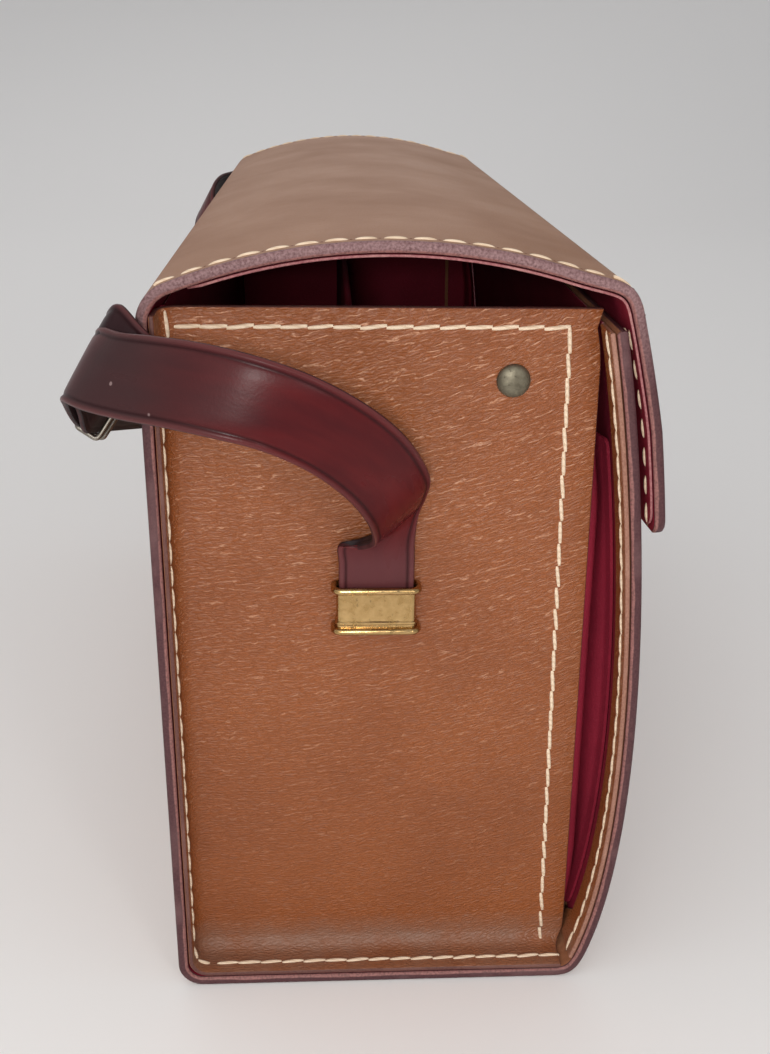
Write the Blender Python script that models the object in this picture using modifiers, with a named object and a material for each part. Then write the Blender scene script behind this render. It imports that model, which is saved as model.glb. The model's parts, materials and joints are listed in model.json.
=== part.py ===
"""Saddle-stitched leather camera bag, modelled piece by piece.

One long leather strip makes the front, base, back, domed lid and flap. Recessed
end panels close it, a folded gusset lets the front wall lean out, and a strap in
brass keepers runs round the back. Metres, +Z up, front at -Y, base at Z = 0.
"""

import math

import bmesh
import bpy
from mathutils import Matrix, Vector

# Driving dimensions
BAG_LENGTH = 0.312
BAG_DEPTH = 0.120
WALL_TOP = 0.184
CROWN_HEIGHT = 0.203
CROWN_OFFSET = 0.004
LEATHER = 0.0026
LINING = 0.0006
CLEARANCE = 0.0003

BASE_CORNER_RADIUS = 0.004
FRONT_TOP_SETBACK = 0.0122
FRONT_TOE_SETBACK = 0.0100
FRONT_BELLY_PULL = 0.0075
FRONT_BELLY_HEIGHT = 0.038
FRONT_CHEST_HEIGHT = 0.135

SHOULDER_RADIUS = 0.010
FRONT_SHOULDER_SETBACK = 0.024
FLAP_GAP = 0.0016
FLAP_BOTTOM = 0.1345
FLAP_CORNER_RADIUS = 0.012
LID_LINING_SETBACK = 0.012
LINING_HEM = 0.0012

END_RECESS = 0.011
PANEL_THICKNESS = 0.0022
PANEL_TOP = 0.1866
PANEL_FREE_TOP = 0.1047
PANEL_FREE_BOTTOM = 0.1084
PANEL_TOE_HEIGHT = 0.017
FLANGE = 0.0012
FLANGE_EDGE_SETBACK = 0.0005
FLANGE_TOE_CLEAR = 0.0035
PANEL_CORNER_RADIUS = 0.003

BOARD_THICKNESS = 0.0020
DIVIDER_THICKNESS = 0.0020
DIVIDER_FROM_BACK = 0.048
DIVIDER_TOP = 0.172

GUSSET_THICKNESS = 0.0008
GUSSET_BOTTOM = 0.024
GUSSET_TOP = 0.152
GUSSET_FOLD_DEPTH = 0.013
GUSSET_SEAM = 0.0060

RIVET_FROM_BACK = 0.0847
RIVET_HEIGHT = 0.1697
RIVET_HEAD_RADIUS = 0.0039
RIVET_HEAD_HEIGHT = 0.0017
RIVET_SHANK_RADIUS = 0.0015
WASHER_RADIUS = 0.0045
WASHER_THICKNESS = 0.0008

STRAP_WIDTH = 0.0185
STRAP_THICKNESS = 0.0018
KEEPER_FROM_BACK = 0.0533
KEEPER_Z = 0.1126
KEEPER_HEIGHT = 0.0110
KEEPER_WALL = 0.0008
KEEPER_HOLLOW_DEPTH = 0.0032
KEEPER_SIDE_PLAY = 0.00035
KEEPER_BEAD = 0.0008
KEEPER_CORNER = 0.0013
KEEPER_PLATE_HEIGHT = 0.0090
KEEPER_PLATE_WIDTH = 0.0180

SHORT_STRAP_RUN = 0.080
RUN_LEAD = 0.004
LONG_STRAP_END = 0.002
STRAP_SAG = 0.0070
SLIDE_PLACE = 0.009
BUCKLE_WIRE_RADIUS = 0.0008
BUCKLE_BAR_SPACING = 0.006

SNAP_HEIGHT = 0.150
SNAP_CAP_RADIUS = 0.0070
SNAP_CAP_HEIGHT = 0.0022
SNAP_BARREL_RADIUS = 0.0062
SNAP_SOCKET_RADIUS = 0.0055
SNAP_STUD_RADIUS = 0.0025
SNAP_STUD_HEIGHT = 0.0026
SNAP_FLANGE_RADIUS = 0.0040
SNAP_FLANGE_THICKNESS = 0.0005
SNAP_POST_RADIUS = 0.0014

CURVE_STEPS = 12
TURN_STEPS = 24

# Places that follow from the driving dimensions
END_X = BAG_LENGTH / 2
BACK_Y = BAG_DEPTH / 2
FRONT_Y = -BAG_DEPTH / 2
TOE_Y = FRONT_Y + FRONT_TOE_SETBACK
INSIDE = LEATHER + CLEARANCE
PANEL_X = END_X - END_RECESS
PANEL_INNER_X = PANEL_X - PANEL_THICKNESS
LINED_X = PANEL_INNER_X - CLEARANCE - LINING
BOARD_TOP = INSIDE + BOARD_THICKNESS

for old in list(bpy.data.objects):
    bpy.data.objects.remove(old, do_unlink=True)

bag = bpy.data.collections.new("camera_bag")
cutters = bpy.data.collections.new("cutters")
bpy.context.scene.collection.children.link(bag)
bpy.context.scene.collection.children.link(cutters)


def finish(name, colour, roughness, metallic=0.0):
    """A plain material for one kind of piece."""
    material = bpy.data.materials.new(name)
    material.use_nodes = True
    shader = material.node_tree.nodes["Principled BSDF"]
    shader.inputs["Base Color"].default_value = (*colour, 1.0)
    shader.inputs["Roughness"].default_value = roughness
    shader.inputs["Metallic"].default_value = metallic
    return material


TAN_LEATHER = finish("tan_leather", (0.33, 0.14, 0.05), 0.55)
RED_LINING = finish("red_lining", (0.24, 0.02, 0.03), 0.80)
BURGUNDY_STRAP = finish("burgundy_strap", (0.10, 0.02, 0.02), 0.40)
BRASS = finish("brass", (0.75, 0.50, 0.14), 0.28, 1.0)
OLD_STEEL = finish("old_steel", (0.36, 0.33, 0.27), 0.45, 1.0)


def pivot(name, place):
    """An empty on a joint's axis, which carries the pieces that move there."""
    empty = bpy.data.objects.new(name, None)
    empty.location = place
    bag.objects.link(empty)
    return empty


LID_HINGE = pivot("lid_hinge", (0.0, BACK_Y, WALL_TOP))
FRONT_HINGE = pivot("front_hinge", (0.0, TOE_Y, 0.0))


def carry(piece, empty):
    """Parents a piece to its joint's empty and leaves it where it is."""
    piece.parent = empty
    piece.matrix_parent_inverse = Matrix.Translation(empty.location).inverted()


def keep(name, mesh, material, cutter=False):
    """Puts a mesh into the bag, or among the cutters."""
    piece = bpy.data.objects.new(name, mesh)
    if cutter:
        piece.hide_render = True
        piece.display_type = "WIRE"
        cutters.objects.link(piece)
        return piece
    mesh.materials.append(material)
    bag.objects.link(piece)
    return piece


def cut(piece, cutter, operation="DIFFERENCE"):
    boolean = piece.modifiers.new(cutter.name, "BOOLEAN")
    boolean.operation = operation
    boolean.object = cutter


def curve_mesh(curve):
    """Turns curve data into a welded mesh."""
    holder = bpy.data.objects.new(curve.name, curve)
    bpy.context.scene.collection.objects.link(holder)
    depsgraph = bpy.context.evaluated_depsgraph_get()
    mesh = bpy.data.meshes.new_from_object(holder.evaluated_get(depsgraph))
    bpy.data.objects.remove(holder, do_unlink=True)
    work = bmesh.new()
    work.from_mesh(mesh)
    bmesh.ops.remove_doubles(work, verts=work.verts, dist=0.00001)
    bmesh.ops.recalc_face_normals(work, faces=work.faces)
    work.to_mesh(mesh)
    work.free()
    return mesh


def add_spline(curve, points, cyclic):
    spline = curve.splines.new("POLY")
    spline.points.add(len(points) - 1)
    for point, place in zip(spline.points, points):
        point.co = (*place, 0.0, 1.0) if len(place) == 2 else (*place, 1.0)
    spline.use_cyclic_u = cyclic


def plate(name, outlines, thickness, material, cutter=False):
    """A flat outline, with any holes, given a thickness about its own plane."""
    curve = bpy.data.curves.new(name, "CURVE")
    curve.dimensions = "2D"
    curve.fill_mode = "BOTH"
    curve.extrude = thickness / 2
    for outline in outlines:
        add_spline(curve, outline, True)
    return keep(name, curve_mesh(curve), material, cutter)


def stand(piece, x):
    """Turns a plate drawn in (y, z) to face along X, centred at x."""
    piece.rotation_euler = (math.pi / 2, 0.0, math.pi / 2)
    piece.location.x = x
    return piece


def section(name, outline, x_low, x_high, material, cutter=False):
    """An outline in (y, z) drawn out along the bag's length."""
    piece = plate(name, [outline], x_high - x_low, material, cutter)
    return stand(piece, (x_low + x_high) / 2)


def arc(centre, radius, start, end):
    """Points on a circle between two angles in degrees."""
    points = []
    for step in range(CURVE_STEPS + 1):
        angle = math.radians(start + (end - start) * step / CURVE_STEPS)
        points.append((centre[0] + radius * math.cos(angle), centre[1] + radius * math.sin(angle)))
    return points


def bezier(controls, steps=2 * CURVE_STEPS):
    """Points on a cubic curve."""
    points = []
    for step in range(steps + 1):
        t = step / steps
        weights = ((1 - t) ** 3, 3 * t * (1 - t) ** 2, 3 * t * t * (1 - t), t ** 3)
        points.append(tuple(sum(w * c[k] for w, c in zip(weights, controls)) for k in (0, 1)))
    return points


def offset(line, distance):
    """The line moved to its left by a distance."""
    moved = []
    for index, point in enumerate(line):
        before = Vector(line[max(index - 1, 0)])
        after = Vector(line[min(index + 1, len(line) - 1)])
        along = (after - before).normalized()
        moved.append((point[0] - along.y * distance, point[1] + along.x * distance))
    return moved


def band(name, line, near, far, x_low, x_high, material):
    """A sheet between two offsets of a line, drawn out along the length."""
    outline = offset(line, near) + offset(line, far)[::-1]
    return section(name, outline, x_low, x_high, material)


def turned(name, profile, place, direction, material, cutter=False):
    """A profile of (radius, height) turned about a line through place."""
    mesh = bpy.data.meshes.new(name)
    closed = profile[0][0] > 0.0
    count = len(profile)
    edges = [(i, (i + 1) % count) for i in range(count if closed else count - 1)]
    mesh.from_pydata([(r, 0.0, h) for r, h in profile], edges, [])
    piece = keep(name, mesh, material, cutter)
    screw = piece.modifiers.new("turn", "SCREW")
    screw.steps = TURN_STEPS
    screw.render_steps = TURN_STEPS
    screw.use_merge_vertices = True
    screw.merge_threshold = 0.00001
    screw.use_smooth_shade = True
    piece.location = place
    piece.rotation_euler = Vector(direction).to_track_quat("Z", "Y").to_euler()
    return piece


def drill(name, radius, place, direction, reach, pieces):
    """One round hole through a stack of pieces."""
    rod = turned(name, [(0, reach), (radius, reach), (radius, -reach), (0, -reach)], place, direction, None, True)
    for piece in pieces:
        cut(piece, rod)


# Lines of the cross-section, drawn in (y, z)
def front_line():
    """Outer face of the front wall, from its toe to its top edge."""
    return bezier(
        (
            (TOE_Y, 0.0),
            (FRONT_Y - FRONT_BELLY_PULL, FRONT_BELLY_HEIGHT),
            (FRONT_Y + 0.1 * FRONT_TOP_SETBACK, FRONT_CHEST_HEIGHT),
            (FRONT_Y + FRONT_TOP_SETBACK, WALL_TOP),
        )
    )


def at_height(line, z):
    """The y of a rising line at a height."""
    for low, high in zip(line, line[1:]):
        if low[1] <= z <= high[1]:
            share = (z - low[1]) / (high[1] - low[1])
            return low[0] + share * (high[0] - low[0])
    return line[-1][0]


def lid_line():
    """Outer face of the lid from the back hinge over the dome to the flap's hem."""
    rise = CROWN_HEIGHT - WALL_TOP - CLEARANCE
    reach = BACK_Y - SHOULDER_RADIUS - CROWN_OFFSET
    dome_radius = (reach ** 2 + rise ** 2 - SHOULDER_RADIUS ** 2) / (2 * (rise - SHOULDER_RADIUS))
    dome = (CROWN_OFFSET, CROWN_HEIGHT - dome_radius)
    shoulder = (BACK_Y - SHOULDER_RADIUS, WALL_TOP + CLEARANCE)
    meet = math.degrees(math.atan2(shoulder[1] - dome[1], shoulder[0] - dome[0]))
    turn_y = FRONT_Y + FRONT_SHOULDER_SETBACK
    leave = math.degrees(math.acos((turn_y - dome[0]) / dome_radius))
    top = arc(shoulder, SHOULDER_RADIUS, 0.0, meet) + arc(dome, dome_radius, meet, leave)[1:]
    hang = offset(front_line(), FLAP_GAP + LEATHER)[::-1]
    flap = [point for point in hang if point[1] > FLAP_BOTTOM]
    start = Vector(top[-1])
    slope = (start - Vector(top[-2])).normalized()
    end = Vector(flap[0])
    fall = (end - Vector(flap[1])).normalized()
    pull = 0.55 * (end - start).length
    turn = bezier((start, start + slope * pull, end + fall * pull, end), CURVE_STEPS)
    hem = (at_height(hang[::-1], FLAP_BOTTOM), FLAP_BOTTOM)
    return top + [tuple(p) for p in turn[1:]] + flap[1:] + [hem]


def free_edge(z):
    """The y of the end panel's free front edge at a height."""
    share = (PANEL_TOP - z) / (PANEL_TOP - PANEL_TOE_HEIGHT)
    return BACK_Y - PANEL_FREE_TOP - share * (PANEL_FREE_BOTTOM - PANEL_FREE_TOP)


def strap_stations():
    """Centre of the strap, and the way across it, from the left keeper to the back run.

    Each row is out from the panel's face, out from the back wall and up from the
    keeper, in millimetres, and then the direction from the lower to the upper edge.
    """
    rows = (
        (3.1, -53.3, -5.0, (0, -1, 0)),
        (3.1, -53.3, 6.0, (0, -1, 0)),
        (3.4, -53.3, 12.0, (0, -1, 0)),
        (4.2, -53.3, 18.5, (-0.03, -0.99, 0.13)),
        (7.0, -54.9, 22.6, (-0.06, -0.86, 0.51)),
        (11.5, -57.0, 27.0, (-0.03, -0.74, 0.67)),
        (17.5, -57.5, 33.2, (0.03, -0.70, 0.71)),
        (23.5, -55.1, 39.9, (0.05, -0.69, 0.72)),
        (29.5, -50.3, 47.4, (0.05, -0.69, 0.73)),
        (35.0, -42.3, 55.2, (0.10, -0.66, 0.74)),
        (37.5, -32.4, 60.9, (0.16, -0.57, 0.80)),
        (37.5, -22.1, 64.1, (0.17, -0.45, 0.88)),
        (35.2, -12.7, 65.6, (0.19, -0.39, 0.90)),
        (29.5, -2.5, 65.6, (0.17, -0.40, 0.90)),
        (21.5, 5.7, 64.4, (0.12, -0.50, 0.86)),
        (13.0, 10.6, 62.6, (0.20, -0.55, 0.81)),
        (1.5, 13.8, 57.6, (0.30, -0.52, 0.80)),
        (-11.0, 13.0, 50.4, (0.24, -0.55, 0.80)),
    )
    stations = []
    for out, back, up, across in rows:
        centre = Vector((-PANEL_X - out / 1000, BACK_Y + back / 1000, KEEPER_Z + up / 1000))
        stations.append((centre, Vector(across).normalized()))
    return stations


# The straight slope of the strap behind the back, where the slide runs
RUN_START, RUN_ACROSS = strap_stations()[-1]
RUN_ALONG = Vector((0.956, -0.030, -0.290)).normalized()
RUN_ACROSS = (RUN_ACROSS - RUN_ALONG * RUN_ACROSS.dot(RUN_ALONG)).normalized()
RUN_OUTWARD = RUN_ACROSS.cross(RUN_ALONG)
LAYER_STEP = STRAP_THICKNESS + 0.0005


def on_run(distance, layer):
    """A station down the slope of the back run; layer 1 lies inside layer 0."""
    return RUN_START + RUN_ALONG * distance - RUN_OUTWARD * LAYER_STEP * layer, RUN_ACROSS


def ribbon(name, stations, steps):
    """A strap through stations of (centre, across), on one smooth curve."""
    rows = []
    last = len(stations) - 1
    for index in range(last):
        span = [stations[min(max(index + k, 0), last)] for k in (-1, 0, 1, 2)]
        for step in range(steps):
            rows.append(smooth_station(span, step / steps))
    rows.append(stations[-1])
    work = bmesh.new()
    bmesh.ops.create_grid(work, x_segments=1, y_segments=len(rows) - 1, size=1.0)
    for vert in work.verts:
        row = round((vert.co.y + 1.0) / 2.0 * (len(rows) - 1))
        centre, across = rows[row]
        vert.co = centre + across * vert.co.x * STRAP_WIDTH / 2
    mesh = bpy.data.meshes.new(name)
    work.to_mesh(mesh)
    work.free()
    piece = keep(name, mesh, BURGUNDY_STRAP)
    wall = piece.modifiers.new("thickness", "SOLIDIFY")
    wall.thickness = STRAP_THICKNESS
    wall.offset = 0.0
    wall.use_even_offset = True
    return piece


def smooth_station(span, t):
    """A station between the middle two of four, on a curve that suits uneven spacing."""
    before, here, after = (max((b[0] - a[0]).length, CLEARANCE) for a, b in zip(span, span[1:]))
    blended = []
    for first, start, end, last in zip(*span):
        rise = end - start
        leave = ((start - first) * here ** 2 / before + rise * before) / (before + here)
        arrive = (rise * after + (last - end) * here ** 2 / after) / (here + after)
        blended.append(
            start * (2 * t ** 3 - 3 * t ** 2 + 1)
            + leave * (t ** 3 - 2 * t ** 2 + t)
            + end * (3 * t ** 2 - 2 * t ** 3)
            + arrive * (t ** 3 - t ** 2)
        )
    return blended[0], blended[1].normalized()


def mirrored(stations):
    return [
        (Vector((-centre.x, centre.y, centre.z)), Vector((-across.x, across.y, across.z)))
        for centre, across in stations
    ]


# Back wall and base, one strip that turns the lower back corner
corner = (BACK_Y - BASE_CORNER_RADIUS, BASE_CORNER_RADIUS)
wrap_outer = [(BACK_Y, WALL_TOP)] + arc(corner, BASE_CORNER_RADIUS, 0, -90)
wrap_inner = [(BACK_Y - LEATHER, WALL_TOP)] + arc(corner, BASE_CORNER_RADIUS - LEATHER, 0, -90)
toe_cut = [
    (TOE_Y + 2 * CLEARANCE, 0.0),
    (TOE_Y + LEATHER + CLEARANCE, 0.4 * LEATHER),
    (TOE_Y + LEATHER + CLEARANCE, LEATHER),
]
section("body_wrap", wrap_outer + toe_cut + wrap_inner[::-1], -END_X, END_X, TAN_LEATHER)

# Red lining of the back, the covered base board and the divider
lining_face = BACK_Y - INSIDE - LINING
lining_reach = LINED_X - CLEARANCE
back_sheet = [
    (BACK_Y - INSIDE, BOARD_TOP + CLEARANCE),
    (BACK_Y - INSIDE, WALL_TOP),
    (lining_face, WALL_TOP),
    (lining_face, BOARD_TOP + CLEARANCE),
]
section("back_lining", back_sheet, -lining_reach, lining_reach, RED_LINING)
board_front = TOE_Y + FLANGE_TOE_CLEAR
board_back = BACK_Y - INSIDE - CLEARANCE
board_outline = [
    (board_front, INSIDE),
    (board_back, INSIDE),
    (board_back, BOARD_TOP),
    (board_front, BOARD_TOP),
]
section("base_board", board_outline, -lining_reach, lining_reach, RED_LINING)
divider_y = BACK_Y - DIVIDER_FROM_BACK
divider_outline = [
    (divider_y - DIVIDER_THICKNESS / 2, BOARD_TOP + CLEARANCE),
    (divider_y + DIVIDER_THICKNESS / 2, BOARD_TOP + CLEARANCE),
    (divider_y + DIVIDER_THICKNESS / 2, DIVIDER_TOP),
    (divider_y - DIVIDER_THICKNESS / 2, DIVIDER_TOP),
]
divider_reach = LINED_X - WASHER_THICKNESS - 2 * CLEARANCE
section("divider", divider_outline, -divider_reach, divider_reach, RED_LINING)

# Front wall with its lining and the two narrow strips sewn inside its ends
wall_line = front_line()
front_wall = band("front_wall", wall_line, 0.0, -LEATHER, -END_X, END_X, TAN_LEATHER)
lining_line = [p for p in wall_line if BOARD_TOP + 0.006 < p[1] < WALL_TOP]
front_reach = LINED_X - GUSSET_FOLD_DEPTH - 0.004
front_lining = band(
    "front_lining", lining_line, -INSIDE, -INSIDE - LINING, -front_reach, front_reach, RED_LINING
)
strip_line = [p for p in wall_line if BOARD_TOP < p[1]]
front_pieces = [front_wall, front_lining]
for side, sign in (("left", -1), ("right", 1)):
    ends = sorted((sign * (END_X - FLANGE_EDGE_SETBACK), sign * (PANEL_X + CLEARANCE)))
    strip = band(f"front_flange_{side}", strip_line, -INSIDE, -INSIDE - FLANGE, *ends, TAN_LEATHER)
    front_pieces.append(strip)

# Lid and flap, one domed sheet with rounded lower corners, and its lining
dome_line = lid_line()
lid = band("lid_leather", dome_line, 0.0, LEATHER, -END_X, END_X, TAN_LEATHER)
lined = [p for p in dome_line if p[0] < BACK_Y - LID_LINING_SETBACK and p[1] > FLAP_BOTTOM + LINING_HEM]
lid_reach = END_X - LINING_HEM
lid_lining = band("lid_lining", lined, INSIDE, INSIDE + LINING, -lid_reach, lid_reach, RED_LINING)
round_corner = [(END_X - FLAP_CORNER_RADIUS, FLAP_BOTTOM + FLAP_CORNER_RADIUS)]
for sign in (-1, 1):
    bend = arc(round_corner[0], FLAP_CORNER_RADIUS, -90, 0)
    spare = FLAP_CORNER_RADIUS
    beyond = [
        (END_X + spare, FLAP_BOTTOM + FLAP_CORNER_RADIUS),
        (END_X + spare, FLAP_BOTTOM - spare),
        (END_X - FLAP_CORNER_RADIUS, FLAP_BOTTOM - spare),
    ]
    outline = [(sign * x, z) for x, z in bend + beyond]
    corner_cutter = plate(f"flap_corner_{sign}", [outline], BAG_DEPTH / 2, None, True)
    corner_cutter.rotation_euler.x = math.pi / 2
    corner_cutter.location.y = FRONT_Y
    cut(lid, corner_cutter)
    cut(lid_lining, corner_cutter)

# Press stud that closes the flap: a domed cap with a socket, and a stud in the wall
snap_y = at_height(wall_line, SNAP_HEIGHT)
snap_low = at_height(wall_line, SNAP_HEIGHT - SNAP_CAP_RADIUS)
snap_high = at_height(wall_line, SNAP_HEIGHT + SNAP_CAP_RADIUS)
snap_rise = Vector((0.0, snap_high - snap_low, 2 * SNAP_CAP_RADIUS)).normalized()
snap_out = Vector((0.0, -snap_rise.z, snap_rise.y))
snap_wall = Vector((0.0, snap_y, SNAP_HEIGHT))
snap_face = FLAP_GAP + LEATHER
socket_mouth = FLAP_GAP - LINING - CLEARANCE
socket_floor = snap_face - 0.2 * LEATHER
cap_profile = [
    (0.0, snap_face + SNAP_CAP_HEIGHT),
    (0.55 * SNAP_CAP_RADIUS, snap_face + 0.85 * SNAP_CAP_HEIGHT),
    (0.90 * SNAP_CAP_RADIUS, snap_face + 0.5 * SNAP_CAP_HEIGHT),
    (SNAP_CAP_RADIUS, snap_face + 2 * CLEARANCE),
    (SNAP_CAP_RADIUS, snap_face + CLEARANCE),
    (SNAP_BARREL_RADIUS, snap_face + CLEARANCE),
    (SNAP_BARREL_RADIUS, socket_mouth),
    (SNAP_SOCKET_RADIUS, socket_mouth),
    (SNAP_SOCKET_RADIUS, socket_floor),
    (0.0, socket_floor),
]
snap_cap = turned("snap_cap", cap_profile, snap_wall, snap_out, BRASS)
drill("snap_cap_hole", SNAP_BARREL_RADIUS + CLEARANCE, snap_wall, snap_out, 0.012, [lid, lid_lining])
post_end = -INSIDE - LINING - CLEARANCE - WASHER_THICKNESS
stud_profile = [
    (0.0, SNAP_STUD_HEIGHT),
    (0.6 * SNAP_STUD_RADIUS, 0.95 * SNAP_STUD_HEIGHT),
    (SNAP_STUD_RADIUS, 0.6 * SNAP_STUD_HEIGHT),
    (0.8 * SNAP_STUD_RADIUS, CLEARANCE + SNAP_FLANGE_THICKNESS),
    (SNAP_FLANGE_RADIUS, CLEARANCE + SNAP_FLANGE_THICKNESS),
    (SNAP_FLANGE_RADIUS, CLEARANCE),
    (SNAP_POST_RADIUS, CLEARANCE),
    (SNAP_POST_RADIUS, post_end),
    (0.0, post_end),
]
snap_stud = turned("snap_stud", stud_profile, snap_wall, snap_out, BRASS)
drill("snap_post_hole", SNAP_POST_RADIUS + CLEARANCE, snap_wall, snap_out, 0.010, [front_wall, front_lining])


def washer_profile(bore, radius, top):
    """A flat ring whose upper face lies at a height on the axis."""
    low = top - WASHER_THICKNESS
    return [(radius, top), (radius, low), (bore, low), (bore, top)]


snap_washer = turned(
    "snap_washer",
    washer_profile(SNAP_POST_RADIUS + CLEARANCE, WASHER_RADIUS, -INSIDE - LINING - CLEARANCE),
    snap_wall,
    snap_out,
    BRASS,
)

# End panels: a pan whose back and base edges turn out into flanges
pan_back = BACK_Y - INSIDE
pan_base = INSIDE
pan_radius = BASE_CORNER_RADIUS - INSIDE
pan_outline = [
    (free_edge(PANEL_TOP), PANEL_TOP),
    (free_edge(PANEL_TOE_HEIGHT), PANEL_TOE_HEIGHT),
    (TOE_Y + FLANGE_TOE_CLEAR, pan_base + 2 * FLANGE),
    (TOE_Y + FLANGE_TOE_CLEAR, pan_base),
]
pan_outline += arc((pan_back - pan_radius, pan_base + pan_radius), pan_radius, -90, 0)
pan_outline += arc((pan_back - PANEL_CORNER_RADIUS, PANEL_TOP - PANEL_CORNER_RADIUS), PANEL_CORNER_RADIUS, 0, 90)
pocket_back = pan_back - FLANGE
pocket_base = pan_base + FLANGE
pocket_radius = pan_radius + FLANGE
pocket_outline = [(FRONT_Y, PANEL_TOP + END_RECESS), (FRONT_Y, pocket_base)]
pocket_outline += arc((pocket_back - pocket_radius, pocket_base + pocket_radius), pocket_radius, -90, 0)
pocket_outline += [(pocket_back, PANEL_TOP + END_RECESS)]
end_lining_outline = [
    (free_edge(PANEL_TOP) + GUSSET_SEAM + 0.0015, PANEL_TOP - LINING_HEM),
    (free_edge(PANEL_TOE_HEIGHT) + GUSSET_SEAM + 0.0015, BOARD_TOP + CLEARANCE),
    (lining_face - CLEARANCE, BOARD_TOP + CLEARANCE),
    (lining_face - CLEARANCE, PANEL_TOP - LINING_HEM - PANEL_CORNER_RADIUS),
    (lining_face - CLEARANCE - PANEL_CORNER_RADIUS, PANEL_TOP - LINING_HEM),
]


def keeper_ring(half_width, depth_low, depth_high, corner_radius):
    """Rounded oblong in (x, y), seen along the strap."""
    points = []
    for cx, cy, start in (
        (depth_high - corner_radius, half_width - corner_radius, 0),
        (depth_low + corner_radius, half_width - corner_radius, 90),
        (depth_low + corner_radius, -half_width + corner_radius, 180),
        (depth_high - corner_radius, -half_width + corner_radius, 270),
    ):
        points += arc((cx, cy), corner_radius, start, start + 90)[::4]
    return points


def brass_keeper(side, sign):
    """Flat brass tube with a rolled bead at its upper and lower rim."""
    name = f"strap_keeper_{side}"
    half = STRAP_WIDTH / 2 + KEEPER_SIDE_PLAY
    back = CLEARANCE + KEEPER_WALL
    front = back + KEEPER_HOLLOW_DEPTH
    outer = keeper_ring(half + KEEPER_WALL, CLEARANCE, front + KEEPER_WALL, KEEPER_CORNER)
    inner = keeper_ring(half, back, front, KEEPER_CORNER - KEEPER_WALL)
    centre = (sign * PANEL_X, BACK_Y - KEEPER_FROM_BACK, KEEPER_Z)
    tube = plate(name, [outer], KEEPER_HEIGHT, BRASS)
    rim = keeper_ring(half + KEEPER_WALL, CLEARANCE + 1.3 * KEEPER_BEAD, front + KEEPER_WALL, KEEPER_CORNER)
    cutter_parts = []
    for edge, level in (("upper", 1), ("lower", -1)):
        curve = bpy.data.curves.new(f"{edge}_bead_{side}", "CURVE")
        curve.dimensions = "3D"
        curve.bevel_depth = KEEPER_BEAD
        curve.bevel_resolution = 1
        add_spline(curve, [(x, y, level * KEEPER_HEIGHT / 2) for x, y in rim], True)
        bead = keep(curve.name, curve_mesh(curve), None, True)
        cut(tube, bead, "UNION")
        cutter_parts.append(bead)
    hollow = plate(f"keeper_hollow_{side}", [inner], 2 * KEEPER_HEIGHT, None, True)
    cut(tube, hollow)
    cutter_parts.append(hollow)
    for part in cutter_parts:
        part.location = centre
        part.rotation_euler.z = 0.0 if sign > 0 else math.pi
    tube.location = centre
    tube.rotation_euler.z = 0.0 if sign > 0 else math.pi
    return tube


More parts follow.
